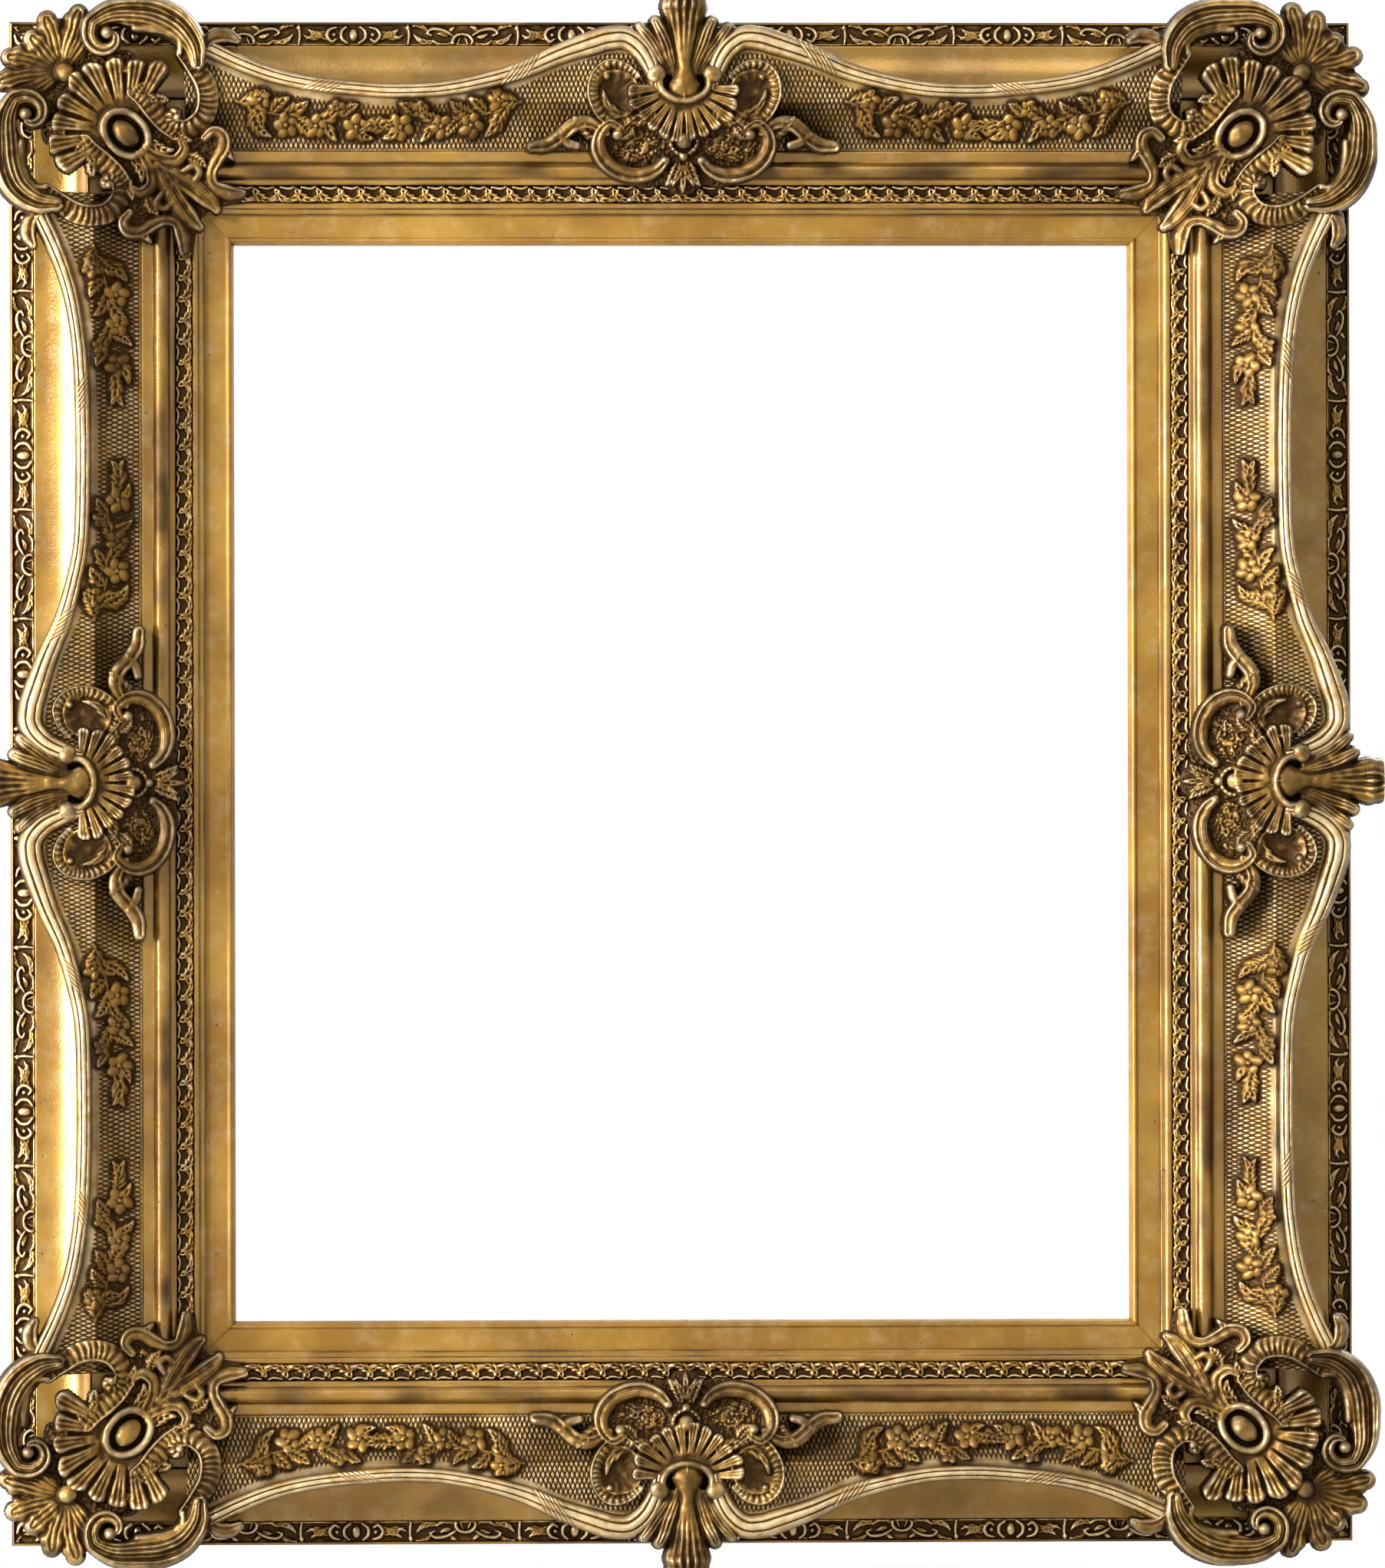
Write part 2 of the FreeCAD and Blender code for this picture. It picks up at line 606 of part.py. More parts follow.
def dome(centre_x, centre_z, long_radius, short_radius, base, rise, sides):
    """Faceted boss whose long radius lies on the diagonal of the plan."""
    rings = []
    for radius_share, rise_share in DOME_SHARES:
        points = []
        for index in range(sides):
            angle = 2 * math.pi * index / sides
            along = long_radius * radius_share * math.cos(angle)
            across = short_radius * radius_share * math.sin(angle)
            points.append(Vector(centre_x + (along + across) * math.sqrt(0.5), base + rise * rise_share,
                                 centre_z + (along - across) * math.sqrt(0.5)))
        rings.append(points)
    return faceted(rings)


def mirror_rows(rows):
    """Rows of the plan mirrored about the diagonal."""
    return [(row[1], row[0]) + tuple(row[2:]) for row in rows]


def mirror_lobe(row):
    """Lobe mirrored about the diagonal."""
    return (row[1], row[0], row[3], row[2], row[4], row[5])


def diagonal_inset(point):
    """Distance in from the frame's edge in a corner, where X and Z both run inwards."""
    return min(point.x, point.z)


def side_inset(point):
    """Distance in from the frame's edge along a side."""
    return point.z


# Corner cartouche, in a corner's own axes: both coordinates run inwards from the outer corner.
# The body's outline on one side of the diagonal, from its outer end to its inner end.
CORNER_BODY_SHARES = [
    (0.1, 0.1), (0.18, 0.0), (0.34, -0.03), (0.46, 0.1), (0.57, 0.17), (0.7, 0.21),
    (0.74, 0.38), (0.88, 0.51), (0.9, 0.6), (1.0, 0.64), (1.19, 0.63),
    (1.22, 0.78), (1.16, 0.9), (1.31, 0.96), (1.2, 1.03), (1.1, 1.1),
]
LARGE_SCROLL_SHARES = volute(
    [(0.955, 0.27, 0.045), (0.985, 0.13, 0.06), (0.93, 0.02, 0.063), (0.83, -0.045, 0.064),
     (0.7, -0.062, 0.064), (0.57, -0.055, 0.062), (0.475, -0.005, 0.055)],
    (0.545, 0.085), -215, 0.045, 0.022, 6)
# Comb of the corner: its edge is also the edge of the swept panel.
COMB_EDGE_SHARES = [
    (0.975, 0.2, 0.03), (1.045, 0.28, 0.042), (1.1, 0.37, 0.046), (1.115, 0.47, 0.046),
    (1.09, 0.56, 0.045), (1.02, 0.615, 0.042), (0.95, 0.62, 0.036),
]
COMB_SHARES = volute(COMB_EDGE_SHARES, (0.945, 0.56), 200, 0.03, 0.016, 5)
SHIELD_EDGE_SHARES = [
    (1.1, 0.655, 0.02), (1.19, 0.65, 0.03), (1.2, 0.78, 0.036), (1.145, 0.9, 0.04), (1.31, 0.98, 0.03),
]
CABOCHON_SHARE = 0.646
CABOCHON_LONG_SHARE = 0.11
CABOCHON_SHORT_SHARE = 0.078
SOCKET_LONG_SHARE = 0.165
SOCKET_SHORT_SHARE = 0.13
SOCKET_BAND_SHARE = 0.026
SOCKET_SIDES = 10
BOSS_SIDES = 6
# Shell ribs: degrees from the outward diagonal, and reach from the cabochon.
SHELL_RIB_SHARES = [(24, 0.53), (80, 0.3)]
SHELL_DIAGONAL_SHARE = 0.5
CORNER_LEAF_SHARES = [
    (0.24, 0.22, 0.04, -0.075, 0.05, 0.12),
    (0.26, 0.2, 0.15, -0.045, 0.05, 0.1),
    (0.36, 0.15, 0.27, -0.075, 0.05, 0.11),
]
CORNER_BOSS_SHARES = [(0.22, 0.066), (0.87, 0.04)]


def body_section():
    """Section of a cartouche's body, (distance in, height), down to the moulding below it."""
    underside = size("Sizes.panel_underside")
    rebate_top = size("Sizes.rebate_top")
    section = [(-cove_end, underside), (cove_end, underside)]
    section += [(cove_end, rebate_top), (rail_width, rebate_top)]
    return section + list(reversed(ROOF)) + [(-cove_end, ROOF[0][1])]


def corner_body():
    """Body of the corner cartouche: its outline cut from a roof that follows the moulding."""
    outline = [Vector(x, 0, z) for x, z in scaled(CORNER_BODY_SHARES, corner_reach)]
    outline += [Vector(point.z, 0, point.x) for point in reversed(outline)]
    blank = polygon_prism(outline, Vector(0, plateau + relief + overrun, 0))
    level = section_prism(body_section(), -rail_width, 2 * rail_width)
    mitre = [Vector(-rail_width, 0, -rail_width), Vector(2 * rail_width, 0, 2 * rail_width),
             Vector(2 * rail_width, 0, -rail_width)]
    level = level.common(polygon_prism(mitre, Vector(0, 2 * plateau, 0)))
    return blank.common(level.fuse(flip_diagonal(level)))


def flip_diagonal(shape):
    """Mirror of a shape about the diagonal plane of a corner."""
    return shape.mirror(Vector(0, 0, 0), Vector(1, 0, -1))


def tilted(shape):
    """Cabochon or socket laid on the slope of the roof at the cabochon's place."""
    (near, high), (far, low) = ROOF[0], ROOF[1]
    tilt = math.degrees(math.atan((high - low) / (far - near) * math.sqrt(0.5)))
    centre = corner_reach * CABOCHON_SHARE
    shape.rotate(Vector(centre, roof_height(centre), centre), Vector(1, 0, -1), -tilt)
    return shape


def cabochon_pieces():
    """Oval boss in a raised socket."""
    centre = corner_reach * CABOCHON_SHARE
    base = roof_height(centre) - sink
    boss = dome(centre, centre, corner_reach * CABOCHON_LONG_SHARE, corner_reach * CABOCHON_SHORT_SHARE,
                base, sink + band_rise, SOCKET_SIDES)
    pieces = [boss]
    for start in (0, 180):
        stations = []
        for index in range(SOCKET_SIDES // 2 + 1):
            angle = math.radians(start + index * 360 / SOCKET_SIDES)
            along = corner_reach * SOCKET_LONG_SHARE * math.cos(angle)
            across = corner_reach * SOCKET_SHORT_SHARE * math.sin(angle)
            place = Vector(centre, 0, centre)
            place += Vector(along + across, 0, along - across) * math.sqrt(0.5)
            heading = Vector(-math.sin(angle) + math.cos(angle), 0, -math.sin(angle) - math.cos(angle))
            stations.append((place, heading, corner_reach * SOCKET_BAND_SHARE, base, sink + lobe_rise))
        pieces.append(ribbon(stations, RIDGE_SHARES))
    return [tilted(piece) for piece in pieces]


def shell_lobes():
    """Shell ribs that fan out from the socket towards the outer corner."""
    rows = []
    centre = CABOCHON_SHARE
    for degrees, reach in SHELL_RIB_SHARES:
        angle = math.radians(225 + degrees)
        root = SOCKET_LONG_SHARE * 0.8
        rows.append((centre + root * math.cos(angle), centre + root * math.sin(angle),
                     centre + reach * math.cos(angle), centre + reach * math.sin(angle),
                     0.05, 0.29 * reach))
    return rows


def corner_cartouche():
    """Pierced corner cartouche in a corner's own axes."""
    pieces = []
    for rows, rise, section in (
            (LARGE_SCROLL_SHARES, scroll_rise, SCROLL_SHARES), (COMB_SHARES, band_rise, SCROLL_SHARES),
            (SHIELD_EDGE_SHARES, band_rise, RIDGE_SHARES)):
        pieces.append(band(rows, corner_reach, rise, section, diagonal_inset))
        pieces.append(band(mirror_rows(rows), corner_reach, rise, section, diagonal_inset))
    for row in CORNER_LEAF_SHARES + shell_lobes():
        pieces.append(lobe(row, corner_reach, lobe_rise, diagonal_inset))
        pieces.append(lobe(mirror_lobe(row), corner_reach, lobe_rise, diagonal_inset))
    root = CABOCHON_SHARE - SOCKET_LONG_SHARE * 0.6
    tip = CABOCHON_SHARE - SHELL_DIAGONAL_SHARE * math.sqrt(0.5)
    pieces.append(lobe((root, root, tip, tip, 0.05, 0.15), corner_reach, lobe_rise, diagonal_inset))
    pieces.append(lobe((0.22, 0.22, -0.06, -0.06, 0.05, 0.13), corner_reach, lobe_rise, diagonal_inset))
    for place, radius in CORNER_BOSS_SHARES:
        centre = place * corner_reach
        pieces.append(dome(centre, centre, radius * corner_reach, radius * corner_reach,
                           roof_height(centre) - sink, sink + lobe_rise + radius * corner_reach, BOSS_SIDES))
    pieces += cabochon_pieces()
    return pieces


# Centre cartouche, in a rail's own axes: X from the middle of the side, Z inwards.
# The body's outline on one side of the middle, from its outer end to its inner end.
CENTRE_BODY_SHARES = [
    (0.0, 0.1), (0.1, 0.12), (0.2, 0.38), (0.3, 0.31), (0.42, 0.26), (0.52, 0.38),
    (0.45, 0.59), (0.49, 0.72), (0.38, 0.9), (0.22, 0.94), (0.1, 0.9), (0.0, 0.96),
]
CENTRE_EAR_SHARES = [
    (0.3, 0.3, 0.024), (0.42, 0.26, 0.028), (0.525, 0.38, 0.03), (0.47, 0.55, 0.028), (0.35, 0.59, 0.024),
]
CENTRE_SCROLL_SHARES = [
    (0.36, 0.62, 0.024), (0.475, 0.65, 0.034), (0.45, 0.82, 0.038), (0.29, 0.9, 0.04), (0.105, 0.81, 0.028),
]
CENTRE_CREST_SHARES = [
    (0.0, 0.38, 0.0, -0.13, 0.06, 0.12),
    (0.04, 0.38, 0.12, -0.1, 0.05, 0.11),
    (0.08, 0.38, 0.25, 0.04, 0.05, 0.1),
    (0.0, 0.78, 0.0, 0.985, 0.06, 0.12),
    (0.44, 0.71, 0.84, 0.68, 0.11, 0.09),
]
CENTRE_SHELL_PLACE_SHARE = 0.42
# Shell ribs: degrees from the inward line, and reach from the shell's root.
CENTRE_SHELL_SHARES = [(0, 0.23), (48, 0.28)]
CENTRE_SHELL_ROOT_SHARE = 0.1
CENTRE_BOSS_SHARES = [(0.0, 0.69, 0.052)]


def both_sides(rows):
    """Rows of the plan mirrored about the middle of a side."""
    return [(-row[0],) + tuple(row[1:]) for row in rows]


def centre_body():
    """Body of the centre cartouche, cut from the same roof as the corner's."""
    half = [Vector(x, 0, z) for x, z in scaled(CENTRE_BODY_SHARES, centre_reach)]
    outline = half + [Vector(-point.x, 0, point.z) for point in reversed(half[1:-1])]
    blank = polygon_prism(outline, Vector(0, plateau + relief + overrun, 0))
    return blank.common(section_prism(body_section(), -centre_reach, centre_reach))


def centre_cartouche():
    """Scrolls, leaves and shell of the centre cartouche."""
    pieces = []
    for rows in (CENTRE_EAR_SHARES, CENTRE_SCROLL_SHARES):
        pieces.append(band(rows, centre_reach, band_rise, RIDGE_SHARES, side_inset))
        pieces.append(band(both_sides(rows), centre_reach, band_rise, RIDGE_SHARES, side_inset))
    rows = list(CENTRE_CREST_SHARES)
    for degrees, reach in CENTRE_SHELL_SHARES:
        along, inward = math.sin(math.radians(degrees)), math.cos(math.radians(degrees))
        root = CENTRE_SHELL_ROOT_SHARE
        rows.append((root * along, CENTRE_SHELL_PLACE_SHARE + root * inward,
                     reach * along, CENTRE_SHELL_PLACE_SHARE + reach * inward, 0.05, 0.13))
    for row in rows:
        pieces.append(lobe(row, centre_reach, lobe_rise, side_inset))
        if row[0] > 0 or row[2] > 0:
            mirrored = (-row[0], row[1], -row[2]) + tuple(row[3:])
            pieces.append(lobe(mirrored, centre_reach, lobe_rise, side_inset))
    for x, z, radius in CENTRE_BOSS_SHARES:
        for sign in (1, -1)[:2 if x > 0 else 1]:
            pieces.append(dome(sign * x * centre_reach, z * centre_reach, radius * centre_reach,
                               radius * centre_reach, roof_height(z * centre_reach) - sink,
                               sink + lobe_rise + radius * centre_reach, BOSS_SIDES))
    return pieces


# Swept panels and rims, in a rail's own axes.
def rim_stations(half_run):
    """Rim centre line of half a side, from the middle outwards, as (x, distance in, half width)."""
    rows = [(d * centre_reach, u * rim_waist, w * rim_half_width) for d, u, w in RIM_CENTRE_SHARES]
    corner = [(half_run - s * corner_reach, u * rim_waist, w * rim_half_width)
              for s, u, w in RIM_CORNER_SHARES]
    start = rows[-1][0]
    gap = corner[0][0] - start
    rows += [(start + gap * share, rim_waist, rim_half_width) for share in WAIST_SHARES]
    return rows + corner


def panel_outline(half_run):
    """Plan of a swept panel on one side of the middle, from the mitre to the middle."""
    comb = [Vector(half_run - p * corner_reach, 0, q * corner_reach)
            for p, q, half in reversed(COMB_EDGE_SHARES)]
    edge = [Vector(half_run - comb[0].z, 0, comb[0].z)]
    edge += spline(comb).toShape().discretize(QuasiDeflection=rim_sag)
    rim = [point for point, direction, half in along_spline(rim_stations(half_run), rim_sag)]
    return edge + list(reversed(rim))


def swept_panel(half_run):
    """Swept panel: the board over the cove and the hollow slope, cut to its outline."""
    half = panel_outline(half_run)
    outline = half + [Vector(-point.x, 0, point.z) for point in reversed(half)]
    outline += [Vector(-half_run + slope_end, 0, slope_end), Vector(half_run - slope_end, 0, slope_end)]
    blank = polygon_prism(outline, Vector(0, plateau + overrun, 0))
    underside = size("Sizes.panel_underside")
    seat = size("Sizes.panel_seat")
    foot = Vector(0, size("Sizes.slope_foot"), slope_end)
    top = Vector(0, plateau, cove_end + size("Sizes.hatch_margin"))
    middle = (foot + top) / 2
    chord = top - foot
    radius = size("Sizes.slope_radius")
    normal = Vector(0, -chord.z, chord.y) / chord.Length
    bow = radius - math.sqrt(radius ** 2 - (chord.Length / 2) ** 2)
    hollow = Part.Arc(foot, middle - normal * bow, top).toShape()
    rest = Part.makePolygon([
        top, Vector(0, plateau, 0), Vector(0, underside, 0), Vector(0, underside, cove_end),
        Vector(0, seat, cove_end), Vector(0, seat, slope_end), foot])
    section = Part.Face(Part.Wire([hollow] + rest.Edges))
    section.translate(Vector(-half_run, 0, 0))
    return blank.common(section.extrude(Vector(2 * half_run, 0, 0)))


def swept_rim(half_run):
    """Two reeded rim lengths that follow the outer edge of a swept panel."""
    lengths = []
    for sign in (1, -1):
        stations = []
        for point, direction, half in along_spline(rim_stations(half_run), rim_sag):
            rise = rim_rise * math.sqrt(half / rim_half_width)
            stations.append((Vector(sign * point.x, 0, point.z), Vector(sign * direction.x, 0, direction.z),
                             half, plateau, rise))
        start_x, start_z, end_x, end_z, width = RIM_SPIKE_SHARES
        root = Vector(sign * (half_run - start_x * corner_reach), 0, start_z * corner_reach)
        tip = Vector(sign * (half_run - end_x * corner_reach), 0, end_z * corner_reach)
        spike = []
        for place, share in RIM_SPIKE_TAPER_SHARES:
            half = width * corner_reach * share
            spike.append((root + (tip - root) * place, tip - root, half, plateau, rim_rise * share))
        lengths.append(ribbon(stations, SCROLL_SHARES).fuse(ribbon(spike, RIDGE_SHARES)))
    return lengths


def moved(shape, x):
    """Copy of a shape moved along X."""
    copy = shape.copy()
    copy.translate(Vector(x, 0, 0))
    return copy


def neighbours(kind):
    """Shapes of the moulding, strips, slip and panel of one kind of rail, in its own axes."""
    side = "top" if kind == "level" else "left"
    shapes = [rails[side][name].Shape for name in ("moulding", "outer_strip", "inner_strip", "slip")]
    return shapes + [panels[kind]]


half_runs = {"level": half_width, "upright": half_height}
panels = {kind: swept_panel(half_run) for kind, half_run in half_runs.items()}
corner_cutters = [moved(shape, half_width) for shape in neighbours("level")]
corner_cutters += [flip_diagonal(moved(shape, half_height)) for shape in neighbours("upright")]
corner_shape = corner_body().multiFuse(corner_cartouche()).cut(corner_cutters).removeSplitter()
corner_shapes = {"level": corner_shape, "upright": flip_diagonal(corner_shape)}
centre_blank = centre_body().multiFuse(centre_cartouche())
for kind, half_run in half_runs.items():
    centre = centre_blank.cut(neighbours(kind)).removeSplitter()
    near = corner_shapes[kind]
    far = moved(near.mirror(Vector(0, 0, 0), Vector(1, 0, 0)), half_run)
    cartouches = [moved(near, -half_run), far, centre]
    rim = Part.makeCompound([length.cut(cartouches) for length in swept_rim(half_run)])
    for side, side_kind, turn in SIDES:
        if side_kind != kind:
            continue
        place = side_placement(turn)
        add_feature("swept_panel_" + side, panels[kind], place)
        add_feature("swept_rim_" + side, rim, place)
        add_feature("centre_ornament_" + side, centre, place)
for corner, turn in CORNERS:
    kind = "level" if turn % 180 == 0 else "upright"
    add_feature("corner_ornament_" + corner, corner_shapes[kind], corner_placement(turn))
for side, kind, turn in SIDES:
    for piece in rails[side].values():
        piece.Placement = side_placement(turn)


# Hardware on the back, in the frame's own axes.
def body_of(label):
    """Empty body of one sub-part."""
    return DOC.addObject("PartDesign::Body", label)


def plate_pad(body, name, corners, height, thickness):
    """Plate over an outline of (x, z) corners, whose near face is at a height off the wall."""
    sketch = sketch_on(body, name + "_outline", "XZ_Plane")
    sketch.setExpression("AttachmentOffset.Base.z", height)
    draw_outline(sketch, corners)
    pad = body.newObject("PartDesign::Pad", name)
    pad.Profile = sketch
    pad.Type = "Length"
    pad.setExpression("Length", thickness)
    body.Tip = pad
    return pad


def through_bores(body, name, role, radius, places):
    """Round holes right through a body."""
    sketch = sketch_on(body, name + "_outline", role)
    for across, along in places:
        draw_outline(sketch, round_corners(across, along, radius))
    hole = body.newObject("PartDesign::Pocket", name)
    hole.Profile = sketch
    hole.Type = "ThroughAll"
    hole.SideType = "Symmetric"
    body.Tip = hole


STRAP_FACE = "(Sizes.ring_wire + Sizes.seat_gap)"
KNUCKLE_RADIUS = "(%s + Sizes.strap_thickness)" % STRAP_FACE
PIVOT_BORE = "(Sizes.ring_wire + Sizes.pivot_clearance)"
SCREW_PASSAGE = "(Sizes.screw_radius + Sizes.pivot_clearance)"


def hanger_strap(label):
    """Strap of a ring hanger: a plate under the wood screws, rolled into a knuckle at its top."""
    body = body_of(label)
    half = "Sizes.strap_width / 2"
    chamfer = "(Sizes.strap_width / 2 - Sizes.strap_chamfer)"
    shoulder = "-(Sizes.strap_length - Sizes.strap_chamfer)"
    plate_pad(body, label + "_plate", [
        ("-" + half, ZERO), ("-" + half, shoulder), ("-" + chamfer, "-Sizes.strap_length"),
        (chamfer, "-Sizes.strap_length"), (half, shoulder), (half, ZERO),
    ], STRAP_FACE, "Sizes.strap_thickness")
    knuckle = body.newObject("PartDesign::Pad", label + "_knuckle")
    knuckle.Profile = sketch_on(body, label + "_knuckle_outline", "YZ_Plane")
    draw_outline(knuckle.Profile[0], round_corners(ZERO, ZERO, KNUCKLE_RADIUS))
    knuckle.SideType = "Symmetric"
    knuckle.setExpression("Length", "Sizes.strap_width")
    body.Tip = knuckle
    through_bores(body, label + "_eye", "YZ_Plane", PIVOT_BORE, [(ZERO, ZERO)])
    screws = [(ZERO, "-Sizes.strap_length * %s" % share) for share in STRAP_HOLE_SHARES]
    through_bores(body, label + "_holes", "XZ_Plane", SCREW_PASSAGE, screws)
    return body


def ring_shape():
    """Closed D ring hanging from its straight bar, which is the pivot."""
    wire = size("Sizes.ring_wire")
    reach = size("Sizes.ring_reach")
    drop = size("Sizes.ring_drop")
    path = [Vector(-reach + wire, 0, 0), Vector(reach - wire, 0, 0), Vector(reach, 0, -wire)]
    for step in range(RING_STEPS + 1):
        angle = math.pi * step / RING_STEPS
        path.append(Vector(reach * math.cos(angle), 0, -drop - reach * math.sin(angle)))
    path.append(Vector(-reach, 0, -wire))
    rings = []
    for index, point in enumerate(path):
        before = (point - path[index - 1]).normalize()
        after = (path[(index + 1) % len(path)] - point).normalize()
        bisector = (before + after).normalize()
        outward = Vector(-bisector.z, 0, bisector.x) / bisector.dot(after)
        rings.append([
            point + (outward * math.cos(turned) + Vector(0, 1, 0) * math.sin(turned)) * wire
            for turned in [math.pi * (2 * side + 1) / WIRE_SIDES for side in range(WIRE_SIDES)]])
    half = len(rings) // 2
    first = faceted(rings[:half + 1])
    second = faceted(rings[half:] + rings[:1])
    return first.fuse(second).removeSplitter()


# Facets of a ring's bow and round its wire.
RING_STEPS = 10
WIRE_SIDES = 8


def turn_button(label):
    """Turn button: a thin plate with clipped ends on one pivot screw."""
    body = body_of(label)
    end = "Sizes.button_length / 2"
    side = "Sizes.button_width / 2"
    clip = "(Sizes.button_length / 2 - Sizes.button_clip)"
    tip = "(Sizes.button_width / 2 - Sizes.button_clip)"
    corners = []
    for across, along in (("", "-"), ("", ""), ("-", ""), ("-", "-")):
        points = [(across + tip, along + end), (across + side, along + clip)]
        corners += points if along == "-" and across == "" or along == "" and across == "-" else points[::-1]
    plate_pad(body, label + "_plate", corners, "-Sizes.button_thickness", "Sizes.button_thickness")
    through_bores(body, label + "_bore", "XZ_Plane", SCREW_PASSAGE, [(ZERO, ZERO)])
    return body


BUTTON_HEIGHT = "(Sizes.moulding_back - Sizes.seat_gap)"
HEAD_TOP = "(%s - Sizes.button_thickness - Sizes.seat_gap - Sizes.screw_head_height)" % BUTTON_HEIGHT
STRAP_BACK = "(Sizes.moulding_back - Sizes.strap_thickness)"
STRAP_HEAD_TOP = "(%s - Sizes.screw_head_height)" % STRAP_BACK


def wood_screw(label, head_top):
    """Flat-headed screw whose head's top lies at a height off the wall."""
    screw = DOC.addObject("Part::Fuse", label)
    head = DOC.addObject("Part::Prism", label + "_head")
    head.setExpression("Circumradius", "Sizes.screw_head_radius")
    head.setExpression("Height", "Sizes.screw_head_height")
    shank = DOC.addObject("Part::Prism", label + "_shank")
    shank.setExpression("Circumradius", "Sizes.screw_radius")
    shank.setExpression("Height", "(Sizes.moulding_back + Sizes.screw_depth - %s)" % head_top)
    head.Polygon = ROUND_SIDES
    shank.Polygon = ROUND_SIDES
    screw.Base = head
    screw.Tool = shank
    return screw


def place_screw(screw, x, z, head_top):
    """Sets a screw at a place of the back, its shank towards the front."""
    inwards = FreeCAD.Rotation(Vector(1, 0, 0), 90)
    screw.Placement = FreeCAD.Placement(Vector(x, -size(head_top), z), inwards)


def group(label, pieces):
    """Like fasteners that share one sub-part."""
    together = DOC.addObject("Part::Compound", label)
    together.Links = pieces


hanger_z = size("Sizes.sight_height / 2 - Sizes.hanger_drop") - centre_drop
hanger_x = half_width - size("Sizes.hanger_inset")
hanger_y = -size("Sizes.moulding_back - %s" % KNUCKLE_RADIUS)
ring = ring_shape()
hanger_screws = []
for side, sign in (("left", -1), ("right", 1)):
    place = FreeCAD.Placement(Vector(sign * hanger_x, hanger_y, hanger_z), FreeCAD.Rotation())
    hanger_strap("hanger_strap_" + side).Placement = place
    add_feature("hanger_ring_" + side, ring, place)
    for share in STRAP_HOLE_SHARES:
        screw = wood_screw("hanger_screw_%s_%d" % (side, len(hanger_screws) + 1), STRAP_HEAD_TOP)
        place_screw(screw, sign * hanger_x, hanger_z - share * size("Sizes.strap_length"), STRAP_HEAD_TOP)
        hanger_screws.append(screw)
group("hanger_screws", hanger_screws)

# Buttons are numbered from the top, clockwise as seen from the front, and lie along their rails.
upright_x = half_width - size("Sizes.button_pivot")
level_z = half_height - size("Sizes.button_pivot")
span = size("Sizes.button_span / 2")
BUTTONS = [
    (0, level_z, 90), (upright_x, span, 0), (upright_x, -span, 0),
    (0, -level_z, 90), (-upright_x, -span, 0), (-upright_x, span, 0),
]
button_y = -size(BUTTON_HEIGHT)
button_screws = []
for number, (x, z, turn) in enumerate(BUTTONS, start=1):
    spin = FreeCAD.Rotation(Vector(0, 1, 0), turn)
    button = turn_button("turn_button_%d" % number)
    button.Placement = FreeCAD.Placement(Vector(x, button_y, z - centre_drop), spin)
    screw = wood_screw("button_screw_%d" % number, HEAD_TOP)
    place_screw(screw, x, z - centre_drop, HEAD_TOP)
    button_screws.append(screw)
group("button_screws", button_screws)

# Corner keys glued into the slots across the corners of the back frame.
keys = []
for corner, turn in CORNERS:
    key = DOC.addObject("Part::Wedge", "corner_key_" + corner)
    for name in ("Xmin", "Ymin", "Zmin", "X2min", "X2max", "Z2min"):
        setattr(key, name, 0)
    for name in ("Xmax", "Ymax"):
        key.setExpression(name, "Sizes.key_leg")
    for name in ("Zmax", "Z2max"):
        key.setExpression(name, "Sizes.key_thickness")
    inset = size("Sizes.back_frame_inset")
    laid = FreeCAD.Placement(Vector(inset, size("Sizes.key_height + Sizes.key_thickness"), inset),
                             FreeCAD.Rotation(Vector(1, 0, 0), 90))
    key.Placement = corner_placement(turn).multiply(laid)
    keys.append(key)
key_set = DOC.addObject("Part::Compound", "corner_keys")
key_set.Links = keys
DOC.recompute()

RAIL_PIECES = ["back_frame", "moulding", "outer_strip", "inner_strip", "slip"]
RAIL_PIECES += ["swept_panel", "swept_rim", "centre_ornament"]
NODES = [name + "_" + side for side, kind, turn in SIDES for name in RAIL_PIECES]
NODES += ["corner_ornament_" + corner for corner, turn in CORNERS]
NODES += [name + "_" + side for side in ("left", "right") for name in ("hanger_strap", "hanger_ring")]
NODES += ["turn_button_%d" % number for number in range(1, len(BUTTONS) + 1)]
NODES += ["hanger_screws", "button_screws", "corner_keys"]

for item in DOC.Objects:
    if "Invalid" in item.State or "Error" in item.State:
        raise RuntimeError("failed feature: " + item.Label)
os.makedirs("parts", exist_ok=True)
for node in NODES:
    piece = DOC.getObjectsByLabel(node)[0]
    if piece.Shape.isNull() or not piece.Shape.isValid():
        raise RuntimeError("bad shape: " + node)
for node in NODES:
    DOC.getObjectsByLabel(node)[0].Shape.exportStep("parts/%s.step" % node)
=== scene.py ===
# %% [markdown]
# # A swept, gilded picture frame
#
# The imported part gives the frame's woodwork, its fittings and every size. This lesson dresses it:
# it carves the ornament as sheets of heights, casts them as meshes over the solids, and lays gold
# leaf, bole and old dirt on them with shader nodes. Plan sizes are in millimetres, as a carver
# would mark them on the rail, and turn into metres only when a mesh is made.

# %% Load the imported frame
import math
import bpy
import numpy as np
from mathutils import Matrix, Vector


